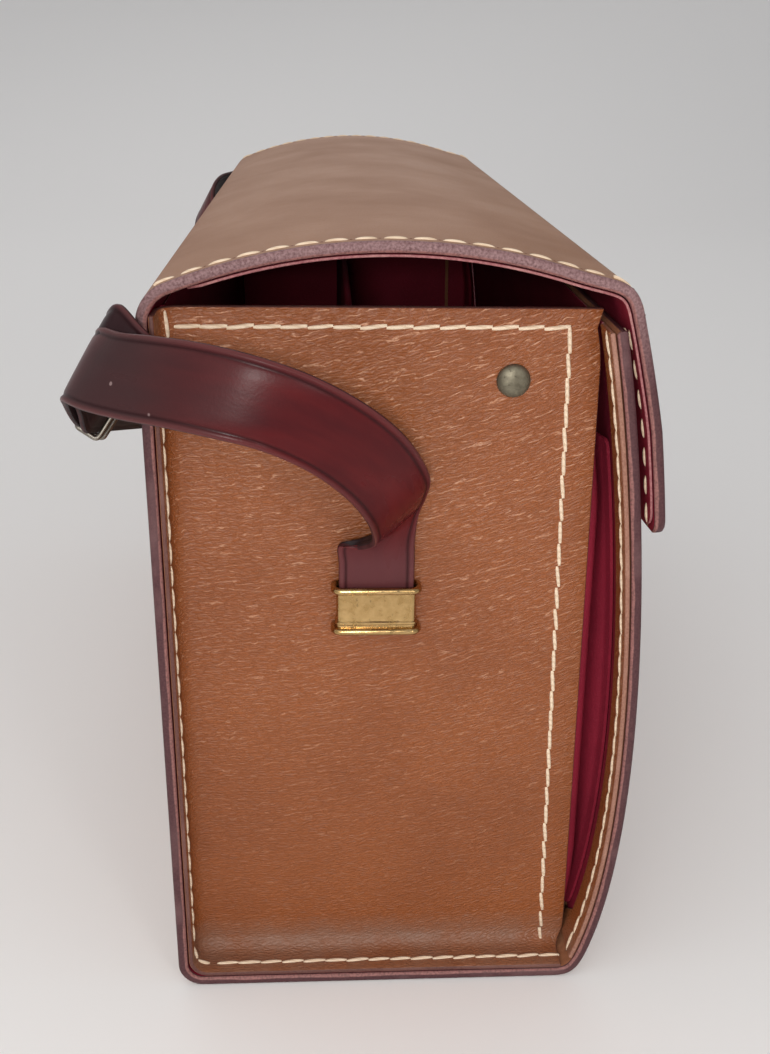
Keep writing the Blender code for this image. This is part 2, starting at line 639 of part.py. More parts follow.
for side, sign in (("left", -1), ("right", 1)):
    outward = Vector((sign, 0.0, 0.0))
    pan_ends = sorted((sign * (END_X - FLANGE_EDGE_SETBACK), sign * PANEL_INNER_X))
    pan = section(f"end_panel_{side}", pan_outline, *pan_ends, TAN_LEATHER)
    pocket_ends = sorted((sign * (END_X + END_RECESS), sign * PANEL_X))
    cut(pan, section(f"pocket_{side}", pocket_outline, *pocket_ends, None, True))
    lining_ends = sorted((sign * (PANEL_INNER_X - CLEARANCE), sign * LINED_X))
    end_lining = section(f"end_lining_{side}", end_lining_outline, *lining_ends, RED_LINING)

    # Folded gusset between the panel's free edge and the front wall
    fold_x = PANEL_INNER_X - CLEARANCE - GUSSET_THICKNESS / 2
    work = bmesh.new()
    bmesh.ops.create_grid(work, x_segments=3, y_segments=CURVE_STEPS, size=1.0)
    for vert in work.verts:
        column = round((vert.co.x + 1.0) * 1.5)
        z = GUSSET_BOTTOM + (vert.co.y + 1.0) / 2 * (GUSSET_TOP - GUSSET_BOTTOM)
        edge = free_edge(z)
        wall = at_height(wall_line, z) + INSIDE + GUSSET_THICKNESS / 2
        places = (
            (fold_x, edge + GUSSET_SEAM),
            (fold_x, edge - GUSSET_THICKNESS),
            (fold_x - GUSSET_FOLD_DEPTH, (edge + wall) / 2 + GUSSET_THICKNESS),
            (fold_x - 3 * GUSSET_THICKNESS, wall + CLEARANCE),
        )
        vert.co = (sign * places[column][0], places[column][1], z)
    gusset_mesh = bpy.data.meshes.new(f"gusset_{side}")
    bmesh.ops.recalc_face_normals(work, faces=work.faces)
    work.to_mesh(gusset_mesh)
    work.free()
    gusset = keep(f"gusset_{side}", gusset_mesh, RED_LINING)
    cloth = gusset.modifiers.new("thickness", "SOLIDIFY")
    cloth.thickness = GUSSET_THICKNESS
    cloth.offset = 0.0

    # Rivet high on the panel, with its washer inside
    stack = PANEL_THICKNESS + CLEARANCE + LINING + CLEARANCE
    rivet_place = Vector((sign * PANEL_X, BACK_Y - RIVET_FROM_BACK, RIVET_HEIGHT))
    rivet_profile = [
        (0.0, CLEARANCE + RIVET_HEAD_HEIGHT),
        (0.5 * RIVET_HEAD_RADIUS, CLEARANCE + 0.88 * RIVET_HEAD_HEIGHT),
        (0.85 * RIVET_HEAD_RADIUS, CLEARANCE + 0.5 * RIVET_HEAD_HEIGHT),
        (RIVET_HEAD_RADIUS, CLEARANCE),
        (RIVET_SHANK_RADIUS, CLEARANCE),
        (RIVET_SHANK_RADIUS, -stack - WASHER_THICKNESS),
        (0.0, -stack - WASHER_THICKNESS),
    ]
    turned(f"end_rivet_{side}", rivet_profile, rivet_place, outward, OLD_STEEL)
    ring = washer_profile(RIVET_SHANK_RADIUS + CLEARANCE, WASHER_RADIUS, -stack)
    turned(f"rivet_washer_{side}", ring, rivet_place, outward, OLD_STEEL)
    bore = RIVET_SHANK_RADIUS + CLEARANCE
    drill(f"rivet_hole_{side}", bore, rivet_place, outward, 0.008, [pan, end_lining])

    # Strap keeper, held by a rivet through the panel to a plate inside
    keeper = brass_keeper(side, sign)
    keeper_place = Vector((sign * PANEL_X, BACK_Y - KEEPER_FROM_BACK, KEEPER_Z))
    head_low = 2 * CLEARANCE + KEEPER_WALL
    head_top = head_low + WASHER_THICKNESS / 2
    clinch_profile = [
        (0.0, head_top),
        (2 * RIVET_SHANK_RADIUS, head_top),
        (2 * RIVET_SHANK_RADIUS, head_low),
        (RIVET_SHANK_RADIUS, head_low),
        (RIVET_SHANK_RADIUS, -stack - WASHER_THICKNESS),
        (0.0, -stack - WASHER_THICKNESS),
    ]
    turned(f"keeper_rivet_{side}", clinch_profile, keeper_place, outward, BRASS)
    plate_half = KEEPER_PLATE_WIDTH / 2
    plate_outline = [
        (keeper_place.y - plate_half, KEEPER_Z - KEEPER_PLATE_HEIGHT / 2),
        (keeper_place.y + plate_half, KEEPER_Z - KEEPER_PLATE_HEIGHT / 2),
        (keeper_place.y + plate_half, KEEPER_Z + KEEPER_PLATE_HEIGHT / 2),
        (keeper_place.y - plate_half, KEEPER_Z + KEEPER_PLATE_HEIGHT / 2),
    ]
    plate_ends = sorted((sign * (PANEL_X - stack), sign * (PANEL_X - stack - WASHER_THICKNESS)))
    backing = section(f"keeper_plate_{side}", plate_outline, *plate_ends, OLD_STEEL)
    drill(f"keeper_hole_{side}", bore, keeper_place, outward, 0.0045, [pan, end_lining, backing])
    drill(f"keeper_back_hole_{side}", bore, keeper_place, outward, 2 * KEEPER_WALL, [keeper])

# Strap in two lengths that overlap on the slope behind the back
left_stations = strap_stations()
half_run = SHORT_STRAP_RUN / 2
short_run = [on_run(distance, 0) for distance in (RUN_LEAD, half_run, SHORT_STRAP_RUN)]
ribbon("strap_short", left_stations + short_run, 3)
sag_end = on_run(SHORT_STRAP_RUN, 1)[0]
sag_middle = Vector((0.0, sag_end.y - 0.0004, sag_end.z - STRAP_SAG))
sag_quarter = Vector((sag_end.x / 2, sag_end.y, sag_end.z - 0.75 * STRAP_SAG))
left_sag = [on_run(SHORT_STRAP_RUN, 1), (sag_quarter, (RUN_ACROSS + Vector((-0.12, 0.0, 0.0))).normalized())]
middle_across = Vector((0.0, RUN_ACROSS.y, RUN_ACROSS.z)).normalized()
long_stations = mirrored(left_stations) + mirrored([on_run(half_run, 0.5)]) + mirrored(left_sag)
long_stations += [(sag_middle, middle_across)] + left_sag[::-1]
long_stations += [on_run(distance, 1) for distance in (SHORT_STRAP_RUN - RUN_LEAD, half_run, LONG_STRAP_END)]
ribbon("strap_long", long_stations, 3)

# Wire slide round both layers of the strap
slide_centre = on_run(SLIDE_PLACE, 0.5)[0]
half_across = STRAP_WIDTH / 2 + CLEARANCE + BUCKLE_WIRE_RADIUS
half_deep = (STRAP_THICKNESS + LAYER_STEP) / 2 + CLEARANCE + BUCKLE_WIRE_RADIUS
loop_corner = 1.5 * BUCKLE_WIRE_RADIUS


def slide_loop(name, x, cutter):
    """A closed wire loop round the strap, square to its run."""
    curve = bpy.data.curves.new(name, "CURVE")
    curve.dimensions = "3D"
    curve.bevel_depth = BUCKLE_WIRE_RADIUS
    curve.bevel_resolution = 2
    ring = keeper_ring(half_across, -half_deep, half_deep, loop_corner)
    points = [RUN_ACROSS * a + RUN_OUTWARD * n + RUN_ALONG * x for n, a in ring]
    add_spline(curve, [tuple(point) for point in points], True)
    loop = keep(name, curve_mesh(curve), None if cutter else OLD_STEEL, cutter)
    loop.location = slide_centre
    return loop


slide = slide_loop("strap_slide", -BUCKLE_BAR_SPACING / 2, False)
cut(slide, slide_loop("second_loop", BUCKLE_BAR_SPACING / 2, True), "UNION")
for edge in (-1, 1):
    rung_end = BUCKLE_BAR_SPACING / 2
    radius = 0.9 * BUCKLE_WIRE_RADIUS
    profile = [(0.0, rung_end), (radius, rung_end), (radius, -rung_end), (0.0, -rung_end)]
    place = slide_centre + RUN_ACROSS * edge * half_across
    rung = turned(f"slide_rung_{edge}", profile, place, RUN_ALONG, None, True)
    cut(slide, rung, "UNION")
carry(slide, pivot("strap_slide_axis", slide_centre))

for piece in (lid, lid_lining, snap_cap):
    carry(piece, LID_HINGE)
for piece in front_pieces + [snap_stud, snap_washer]:
    carry(piece, FRONT_HINGE)
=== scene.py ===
import json
import math

import bmesh
import bpy
from mathutils import Matrix, Vector


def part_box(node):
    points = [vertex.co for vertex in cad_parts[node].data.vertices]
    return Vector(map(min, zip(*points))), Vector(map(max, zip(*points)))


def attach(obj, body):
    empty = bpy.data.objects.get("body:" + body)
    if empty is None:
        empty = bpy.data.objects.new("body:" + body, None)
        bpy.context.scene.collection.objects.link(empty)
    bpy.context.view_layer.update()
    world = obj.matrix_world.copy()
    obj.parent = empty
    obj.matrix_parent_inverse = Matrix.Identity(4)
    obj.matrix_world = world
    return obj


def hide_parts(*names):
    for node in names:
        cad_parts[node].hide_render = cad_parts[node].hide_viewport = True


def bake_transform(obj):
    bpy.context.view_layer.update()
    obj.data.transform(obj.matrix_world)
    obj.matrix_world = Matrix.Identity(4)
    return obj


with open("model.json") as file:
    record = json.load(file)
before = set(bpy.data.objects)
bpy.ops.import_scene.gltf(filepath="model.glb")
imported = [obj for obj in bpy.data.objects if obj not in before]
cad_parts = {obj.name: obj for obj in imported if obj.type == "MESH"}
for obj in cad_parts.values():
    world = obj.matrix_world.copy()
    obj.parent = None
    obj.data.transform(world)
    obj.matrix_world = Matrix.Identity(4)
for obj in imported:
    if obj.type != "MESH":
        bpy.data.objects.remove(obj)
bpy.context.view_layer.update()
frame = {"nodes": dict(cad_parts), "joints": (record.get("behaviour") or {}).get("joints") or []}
scene = bpy.context.scene
scene.view_settings.view_transform = "Standard"

# Camera before the near end, a little above the lid, looking down along the bag.
# Its line of sight is the photograph's, in a picture of 770 by 1054 pixels.
PICTURE_HEIGHT = 1054
FOCAL_PIXELS = 1150
SENSOR_HEIGHT = 36.0
CAMERA_PLACE = (-0.40303, 0.01938, 0.24081)
pitch, yaw, roll = (math.radians(angle) for angle in (22.66, 3.27, -0.976))
forward = Vector((math.cos(pitch) * math.cos(yaw), -math.cos(pitch) * math.sin(yaw), -math.sin(pitch)))
level_right = Vector((-math.sin(yaw), -math.cos(yaw), 0.0))
level_down = forward.cross(level_right)
camera_right = level_right * math.cos(roll) + level_down * math.sin(roll)
camera_down = level_down * math.cos(roll) - level_right * math.sin(roll)


def placed(name, data):
    """A new object in the scene for a mesh, a curve, a lamp or a camera."""
    piece = bpy.data.objects.new(name, data)
    scene.collection.objects.link(piece)
    return piece


camera = placed("camera", bpy.data.cameras.new("camera"))
camera.data.sensor_fit = "VERTICAL"
camera.data.sensor_height = SENSOR_HEIGHT
camera.data.lens = SENSOR_HEIGHT * FOCAL_PIXELS / PICTURE_HEIGHT
camera.data.clip_start = 0.01
camera.matrix_world = Matrix((camera_right, -camera_down, -forward)).transposed().to_4x4()
camera.location = CAMERA_PLACE
scene.camera = camera

# Paper sweep that the bag stands on, rising far behind it into the wall,
# with a broad lamp over the left shoulder, three near the camera, a weak one behind and an even sky.
PAPER_WHITE = (0.88, 0.86, 0.85)
SWEEP_START = 1.3
SWEEP_RADIUS = 1.0
SWEEP_HALF_WIDTH = 12.0
WALL_HEIGHT = 4.0
sweep_line = [(-SWEEP_HALF_WIDTH, 0.0)]
for step in range(17):
    angle = math.pi / 2 * step / 16
    sweep_line.append((SWEEP_START + SWEEP_RADIUS * math.sin(angle), SWEEP_RADIUS * (1.0 - math.cos(angle))))
sweep_line.append((SWEEP_START + SWEEP_RADIUS, WALL_HEIGHT))


def mesh_of(name, work):
    """Hands the worked geometry over as a mesh."""
    mesh = bpy.data.meshes.new(name)
    work.to_mesh(mesh)
    work.free()
    return mesh


work = bmesh.new()
bmesh.ops.create_grid(work, x_segments=len(sweep_line) - 1, y_segments=1, size=1.0)
for vert in work.verts:
    x, z = sweep_line[round((vert.co.x + 1.0) / 2.0 * (len(sweep_line) - 1))]
    vert.co = (x, vert.co.y * SWEEP_HALF_WIDTH, z)
for face in work.faces:
    face.smooth = True
paper_mesh = mesh_of("paper", work)
paper_finish = bpy.data.materials.new("paper")
paper_finish.use_nodes = True
paper_shader = paper_finish.node_tree.nodes["Principled BSDF"]
paper_shader.inputs["Base Color"].default_value = (*PAPER_WHITE, 1.0)
paper_shader.inputs["Roughness"].default_value = 0.9
paper_mesh.materials.append(paper_finish)
paper = placed("paper", paper_mesh)

world = bpy.data.worlds.new("even_sky")
world.use_nodes = True
world.node_tree.nodes["Background"].inputs["Color"].default_value = (0.96, 0.98, 1.0, 1.0)
world.node_tree.nodes["Background"].inputs["Strength"].default_value = 0.50
scene.world = world
BAG_MIDDLE = Vector((0.0, 0.0, 0.10))
for lamp_name, lamp_place, lamp_width, watts, warmth in (
    ("key_lamp", (-0.5, 0.7, 1.4), 2.0, 6.0, (1.0, 0.97, 0.93)),
    ("front_lamp", (-0.90, 0.20, 0.40), 0.5, 1.0, (1.0, 0.98, 0.95)),
    ("near_lamp", (-0.62, 0.05, 0.290), 0.05, 0.95, (1.0, 0.98, 0.95)),
    ("side_lamp", (-0.62, -0.20, 0.290), 0.08, 0.30, (1.0, 0.98, 0.95)),
    ("rim_lamp", (1.3, 0.2, 1.2), 1.4, 3.0, (1.0, 1.0, 1.0)),
):
    lamp = placed(lamp_name, bpy.data.lights.new(lamp_name, "AREA"))
    lamp.data.size = lamp_width
    lamp.data.energy = watts
    lamp.data.color = warmth
    lamp.location = lamp_place
    lamp.rotation_euler = (BAG_MIDDLE - Vector(lamp_place)).to_track_quat("-Z", "Y").to_euler()

# Back wall and base: one strip of tan hide that turns the lower back corner on a tight bend.
# Its cut edges are dyed plum and burnished round; the grain is fine, with a dull sheen.
END_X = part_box("body_wrap")[1].x
BACK_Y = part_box("body_wrap")[1].y
WALL_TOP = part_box("body_wrap")[1].z
LEATHER = 0.0026
CLEARANCE = 0.0003
INSIDE = LEATHER + CLEARANCE
EDGE_ROUND = 0.0010
BASE_CORNER = 0.0068
LID_JOIN_Z = 0.172
TOE_JOIN_Y = -0.036
WALL_TAN = (0.33, 0.125, 0.048)
WALL_SHADE = (0.25, 0.085, 0.033)
# Painted highlight colour of the wrinkle lines and glints on the wall and lid hide.
WALL_HIGHLIGHT = (0.46, 0.24, 0.14)
EDGE_PLUM = (0.097, 0.037, 0.040)
EDGE_DARK = (0.050, 0.015, 0.019)
EDGE_PALE = (0.175, 0.090, 0.089)
EDGE_PINK = (0.31, 0.135, 0.122)
FINE_GRAIN = (0.0011, 0.0011, 0.0011)
SHARP_TURN = math.radians(42)
QUARTER_TURN = [math.radians(angle) for angle in (22.5, 45.0, 67.5, 90.0)]


def add(tree, kind, inputs=None, **settings):
    """Adds a node, sets its options, and sets or links its inputs."""
    made = tree.nodes.new(kind)
    for option, value in settings.items():
        setattr(made, option, value)
    for socket, value in (inputs or {}).items():
        if isinstance(value, bpy.types.NodeSocket):
            tree.links.new(value, made.inputs[socket])
        else:
            made.inputs[socket].default_value = value
    return made


def colour4(colour):
    return (*colour, 1.0) if isinstance(colour, tuple) else colour


def tint(tree, share, first, second):
    """Passes from the first colour to the second as the share goes from 0 to 1."""
    inputs = {0: share, 6: colour4(first), 7: colour4(second)}
    return add(tree, "ShaderNodeMix", inputs, data_type="RGBA").outputs[2]


def spread(tree, value, low, high, to_low=0.0, to_high=1.0):
    """Maps a value from one range to another and holds it there."""
    inputs = {"Value": value, "From Min": low, "From Max": high, "To Min": to_low, "To Max": to_high}
    return add(tree, "ShaderNodeMapRange", inputs).outputs["Result"]


def worked(tree, operation, first, second=0.0):
    """One sum on two values or sockets."""
    return add(tree, "ShaderNodeMath", {0: first, 1: second}, operation=operation).outputs[0]


def product(tree, first, second):
    return worked(tree, "MULTIPLY", first, second)


def parts(tree, vector):
    """The X, Y and Z of a vector."""
    return add(tree, "ShaderNodeSeparateXYZ", {0: vector}).outputs


def scaled(tree, place, scale):
    """Coordinates multiplied along each axis."""
    return add(tree, "ShaderNodeMapping", {"Vector": place, "Scale": scale}).outputs[0]


def cloud(tree, place, size, detail=3.0):
    """Soft uneven patches of about this size."""
    inputs = {"Vector": place, "Scale": 1.0 / size, "Detail": detail, "Roughness": 0.55}
    return add(tree, "ShaderNodeTexNoise", inputs).outputs["Fac"]


def new_finish(name, roughness, metallic=0.0):
    """A material with its shader, and the two coordinates that the finishes read."""
    material = bpy.data.materials.new(name)
    material.use_nodes = True
    tree = material.node_tree
    shader = tree.nodes["Principled BSDF"]
    shader.inputs["Roughness"].default_value = roughness
    shader.inputs["Metallic"].default_value = metallic
    place = add(tree, "ShaderNodeTexCoord").outputs["Object"]
    lay = add(tree, "ShaderNodeAttribute", attribute_name="lay").outputs["Vector"]
    return material, tree, shader, place, lay


def raise_grain(tree, shader, height, depth, strength=1.0):
    inputs = {"Height": height, "Distance": depth, "Strength": strength}
    bump = add(tree, "ShaderNodeBump", inputs)
    tree.links.new(bump.outputs["Normal"], shader.inputs["Normal"])


def hide(name, colour, shade, highlight_colour, cell, relief, roughness, glints, rim=None, sweep=0.0):
    """Grained leather: uneven dye, creased pebbles with painted shade in their creases and hollows, painted
    highlights along broken wrinkle lines and in small glints; sweep bends the grain.
    """
    material, tree, shader, place, lay = new_finish(name, roughness)
    shader.inputs["Specular IOR Level"].default_value = 0.35
    x, y, z = parts(tree, place)
    lean = worked(tree, "ADD", y, -0.06)
    lift = product(tree, product(tree, lean, lean), -sweep)
    swept = worked(tree, "ADD", z, lift)
    grown = add(tree, "ShaderNodeCombineXYZ", {0: x, 1: y, 2: swept}).outputs[0]
    wander = add(tree, "ShaderNodeTexNoise", {"Vector": place, "Scale": 0.22 / min(cell), "Detail": 2.0})
    stray = {0: wander.outputs["Color"], 3: 2.0 * min(cell)}
    pull = add(tree, "ShaderNodeVectorMath", stray, operation="SCALE")
    moved = add(tree, "ShaderNodeVectorMath", {0: grown, 1: pull.outputs[0]}, operation="ADD").outputs[0]
    stretch = tuple(1.0 / size for size in cell)
    fitted = scaled(tree, moved, stretch)
    pebble = add(tree, "ShaderNodeTexVoronoi", {"Vector": fitted, "Scale": 1.0})
    outline = add(tree, "ShaderNodeTexVoronoi", {"Vector": fitted, "Scale": 1.0}, feature="DISTANCE_TO_EDGE")
    crease = outline.outputs["Distance"]
    wrinkle = cloud(tree, fitted, 0.8, 4.0)
    patches = cloud(tree, place, 0.035)
    dyed = tint(tree, spread(tree, patches, 0.35, 0.65), shade, colour)
    # Painted shade: darker in the hollows of the wrinkles and in the creases round the pebbles.
    lined = tint(tree, spread(tree, wrinkle, 0.35, 0.65, 0.3, 0.0), dyed, tuple(0.72 * c for c in shade))
    creased = tint(tree, spread(tree, crease, 0.0, 0.12, 0.35, 0.0), lined, tuple(0.62 * c for c in shade))
    # Painted highlights: broken pale lines along the wrinkles, stronger higher up.
    long_cells = tuple(part / size for size, part in zip(cell, (0.6, 0.28, 0.42)))
    long_place = scaled(tree, grown, long_cells)
    level = product(tree, parts(tree, fitted)["Z"], 0.45)
    bends = product(tree, cloud(tree, long_place, 1.0, 1.0), 2.2)
    levels = worked(tree, "ADD", level, bends)
    contour = worked(tree, "PINGPONG", levels, 0.5)
    breaks = spread(tree, cloud(tree, fitted, 0.9, 3.0), 0.46, 0.60)
    lit = spread(tree, z, 0.03, 0.18, 0.25, 1.2)
    wrinkle_highlights = product(tree, product(tree, spread(tree, contour, 0.02, 0.11, 1.3 * glints, 0.0), breaks), lit)
    creased = tint(tree, wrinkle_highlights, creased, highlight_colour)
    # Painted glints: small pale lenses on some pebbles, in patches and stronger higher up.
    narrow = tuple(1.0 / (0.62 * size) for size in cell)
    glint_place = scaled(tree, moved, narrow)
    glint = add(tree, "ShaderNodeTexVoronoi", {"Vector": glint_place, "Scale": 1.0})
    lens = spread(tree, glint.outputs["Distance"], 0.14, 0.36, 0.4, 0.0)
    pick = parts(tree, glint.outputs["Color"])["X"]
    chosen = product(tree, product(tree, lens, spread(tree, pick, 1.0 - glints, 1.0)), lit)
    zones = spread(tree, cloud(tree, place, 0.06, 2.0), 0.36, 0.62, 0.3, 1.0)
    finished = tint(tree, product(tree, chosen, zones), creased, highlight_colour)
    if rim:
        margin = parts(tree, lay)["Z"]
        finished = tint(tree, spread(tree, margin, 0.0009, 0.0014), rim, finished)
    tree.links.new(finished, shader.inputs["Base Color"])
    chance = parts(tree, pebble.outputs["Color"])["Y"]
    dome = product(tree, spread(tree, crease, 0.0, 0.30), spread(tree, chance, 0.0, 1.0, 0.6, 1.0))
    height = worked(tree, "ADD", dome, wrinkle)
    raise_grain(tree, shader, height, relief)
    polish = spread(tree, patches, 0.3, 0.7, roughness + 0.05, roughness - 0.05)
    tree.links.new(polish, shader.inputs["Roughness"])
    return material


def dyed_edge(name, colour, dark, pale, inner=None, pale_above=None):
    """Cut leather edge: dyed, streaked along its fibres, worn pale in patches; the dye may miss its inner
    third.
    """
    material, tree, shader, place, lay = new_finish(name, 0.55)
    shader.inputs["Specular IOR Level"].default_value = 0.3
    fibres = cloud(tree, place, 0.0006, 3.0)
    rubs = cloud(tree, place, 0.016, 3.0)
    streaked = tint(tree, spread(tree, fibres, 0.25, 0.70), dark, colour)
    worn = tint(tree, spread(tree, rubs, 0.52, 0.75, 0.0, 0.7), streaked, pale)
    # Paler, streaked colour above a height.
    if pale_above:
        level = parts(tree, place)["Z"]
        paled = tint(tree, spread(tree, fibres, 0.26, 0.64), colour, pale_above)
        worn = tint(tree, spread(tree, level, 0.170, 0.192), worn, paled)
    if inner:
        depth = parts(tree, lay)["Z"]
        wavering = spread(tree, rubs, 0.3, 0.7, -0.10, 0.10)
        line = worked(tree, "ADD", depth, wavering)
        undyed = tint(tree, spread(tree, fibres, 0.3, 0.6), tuple(0.5 * c for c in inner), inner)
        worn = tint(tree, spread(tree, line, -0.70, -0.80), worn, undyed)
    tree.links.new(worn, shader.inputs["Base Color"])
    raise_grain(tree, shader, fibres, 0.00006)
    return material


def flesh_side(name):
    """The back of the hide: paler, matt and a little furry."""
    material, tree, shader, place, lay = new_finish(name, 0.9)
    nap = cloud(tree, place, 0.0012, 4.0)
    tree.links.new(tint(tree, nap, (0.24, 0.085, 0.035), (0.36, 0.15, 0.07)), shader.inputs["Base Color"])
    raise_grain(tree, shader, nap, 0.00025)
    return material


# Wall dye colours, with the painted highlight colour last.
WALL_DYE_AND_HIGHLIGHT = (WALL_TAN, WALL_SHADE, WALL_HIGHLIGHT)
WALL_HIDE = hide("wall_hide", *WALL_DYE_AND_HIGHLIGHT, FINE_GRAIN, 0.00008, 0.46, 0.18, EDGE_DARK)
PLUM_EDGE = dyed_edge("plum_edge", EDGE_PLUM, EDGE_DARK, EDGE_PALE, EDGE_PINK)
FLESH = flesh_side("flesh_side")


def skin(name, loops, kinds, finishes, lays, ring=False):
    """Joins loops of points into one closed skin, with a finish for each stretch of the loop."""
    work = bmesh.new()
    layer = work.verts.layers.float_vector.new("lay")
    grid = [[work.verts.new(point) for point in loop] for loop in loops]
    for row, row_lays in zip(grid, lays):
        for vert, lay in zip(row, row_lays):
            vert[layer] = lay
    neighbours = list(zip(grid, grid[1:]))
    if ring:
        neighbours.append((grid[-1], grid[0]))
    for near, far in neighbours:
        for index, kind in enumerate(kinds):
            following = (index + 1) % len(near)
            face = work.faces.new((near[index], near[following], far[following], far[index]))
            face.material_index = kind
    if not ring:
        for cap in (grid[0][::-1], grid[-1]):
            work.faces.new(cap).material_index = min(1, len(finishes) - 1)
    bmesh.ops.recalc_face_normals(work, faces=work.faces)
    mesh = mesh_of(name, work)
    mesh.shade_smooth()
    mesh.set_sharp_from_angle(angle=SHARP_TURN)
    for finish in finishes:
        mesh.materials.append(finish)
    return placed(name, mesh)


def sheet_section(half_width, widest, thickness, round_edge):
    """One turn round a sheet: across, depth, distance from the edge (on it, minus the depth share), kind."""
    steps = [round_edge, 0.0016, 0.0028, 0.0040, 0.0052, 0.0080, 0.0160]
    offsets = [step for step in steps if round_edge <= step < widest]
    count = max(1, round((widest - offsets[-1]) / 0.016))
    inner = half_width - offsets[-1]
    across = [half_width - step for step in offsets]
    across += [inner * (1.0 - k / count) for k in range(1, 2 * count)]
    across += [-half_width + step for step in offsets[::-1]]
    low = []
    for angle in QUARTER_TURN:
        low.append((-half_width + round_edge * (1 - math.sin(angle)), round_edge * (1 - math.cos(angle))))
    loop = [(a, 0.0, half_width - abs(a), 0) for a in across]
    loop += [(a, d, -d / thickness, 1) for a, d in low]
    loop += [(a, thickness - d, d / thickness - 1.0, 1) for a, d in low[::-1]]
    loop += [(-a, thickness, half_width - abs(a), 2) for a in across]
    loop += [(-a, thickness - d, d / thickness - 1.0, 1) for a, d in low]
    loop += [(-a, d, -d / thickness, 1) for a, d in low[::-1]]
    kinds = [entry[3] for entry in loop]
    kinds[len(across) - 1] = 1
    kinds[len(across) + 2 * len(low) - 1] = 1
    kinds[2 * len(across) + 2 * len(low) - 1] = 1
    return loop, kinds


def outward_at(line, index):
    """The way out of the bag at a point of a line in (y, z) that runs with the inside on its left."""
    before = Vector(line[max(index - 1, 0)])
    after = Vector(line[min(index + 1, len(line) - 1)])
    along = (after - before).normalized()
    return Vector((along.y, -along.x))


def moved_line(line, depth):
    """The line moved into the bag by a depth."""
    return [tuple(Vector(point) - outward_at(line, i) * depth) for i, point in enumerate(line)]


def leather_sheet(name, line, half_width, thickness, finishes, round_edge, ends, middle=0.0, corner=0.0):
    """A sheet that follows a line in (y, z): ends says which of its two ends is cut and rounded."""
    rows = []
    for index, point in enumerate(line):
        rows.append([Vector(point), outward_at(line, index), 0.0])
    for end, (tip, inner) in zip(ends, ((0, 1), (-1, -2))):
        if not end:
            continue
        along = (rows[tip][0] - rows[inner][0]).normalized()
        edge, outward = rows[tip][0].copy(), rows[tip][1]
        rows[tip][0] = edge - along * round_edge
        turned = []
        for angle in QUARTER_TURN:
            reach = round_edge * (1.0 - math.sin(angle))
            inset = round_edge * (1.0 - math.cos(angle))
            turned.append([edge - along * reach, outward, inset])
        rows = turned[::-1] + rows if tip == 0 else rows + turned
    runs = [0.0]
    for near, far in zip(rows, rows[1:]):
        runs.append(runs[-1] + (far[0] - near[0]).length)
    loops, lays = [], []
    for (point, outward, inset), run in zip(rows, runs):
        to_tip = min(run if ends[0] else 1.0, runs[-1] - run if ends[1] else 1.0)
        cut = corner - math.sqrt(max(0.0, corner ** 2 - max(0.0, corner - to_tip) ** 2)) if ends[1] else 0.0
        section, kinds = sheet_section(half_width - cut, half_width, thickness, round_edge)
        loop, loop_lays = [], []
        for across, depth, margin, kind in section:
            depth = min(max(depth, inset), thickness - inset)
            place = point - outward * depth
            loop.append(Vector((middle + across, place.x, place.y)))
            loop_lays.append((across, run, min(margin, to_tip)))
        loops.append(loop)
        lays.append(loop_lays)
    return skin(name, loops, kinds, finishes, lays)


def arc(centre, radius, start, end, steps=16):
    """Points on a circle in (y, z) between two angles in degrees."""
    angles = [math.radians(start + (end - start) * step / steps) for step in range(steps + 1)]
    return [(centre[0] + radius * math.cos(a), centre[1] + radius * math.sin(a)) for a in angles]


back_line = [(TOE_JOIN_Y + k * 0.02, 0.0) for k in range(5)]
back_line += arc((BACK_Y - BASE_CORNER, BASE_CORNER), BASE_CORNER, -90, 0, 10)
back_line += [(BACK_Y, z) for z in (0.02, 0.06, 0.10, 0.14, LID_JOIN_Z)]
back_and_base = leather_sheet(
    "back_and_base", back_line, END_X, LEATHER, [WALL_HIDE, PLUM_EDGE, FLESH], EDGE_ROUND, (False, False)
)
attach(back_and_base, "shell")
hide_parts("body_wrap")

# Front wall: the same strip turned up at the toe, bellied out a little, with a cut top edge.
# It bends where it leaves the base.
FRONT_Y = -BACK_Y
TOE_Y = next(joint for joint in frame["joints"] if joint["name"] == "front_hinge")["pos_m"][1]
BELLY_PULL = 0.0075
BELLY_HEIGHT = 0.038
CHEST_HEIGHT = 0.135
TOP_SETBACK = 0.0122
CHEST_SETBACK = 0.1 * TOP_SETBACK
TOE_BEND = 0.0065


def bezier(controls, steps):
    """Points on a cubic curve in (y, z)."""
    points = []
    for step in range(steps + 1):
        t = step / steps
        weights = ((1 - t) ** 3, 3 * t * (1 - t) ** 2, 3 * t * t * (1 - t), t ** 3)
        points.append(tuple(sum(w * c[k] for w, c in zip(weights, controls)) for k in (0, 1)))
    return points


wall_rise = bezier(
    (
        (TOE_Y, 0.0),
        (FRONT_Y - BELLY_PULL, BELLY_HEIGHT),
        (FRONT_Y + CHEST_SETBACK, CHEST_HEIGHT),
        (FRONT_Y + TOP_SETBACK, WALL_TOP),
    ),
    48,
)
wall_line = wall_rise[::-1]


def y_at(line, z):
    """The y of a line at a height."""
    for near, far in zip(line, line[1:]):
        low, high = sorted((near, far), key=lambda point: point[1])
        if low[1] <= z <= high[1]:
            share = (z - low[1]) / max(high[1] - low[1], 1e-9)
            return low[0] + share * (high[0] - low[0])
    return line[-1][0]


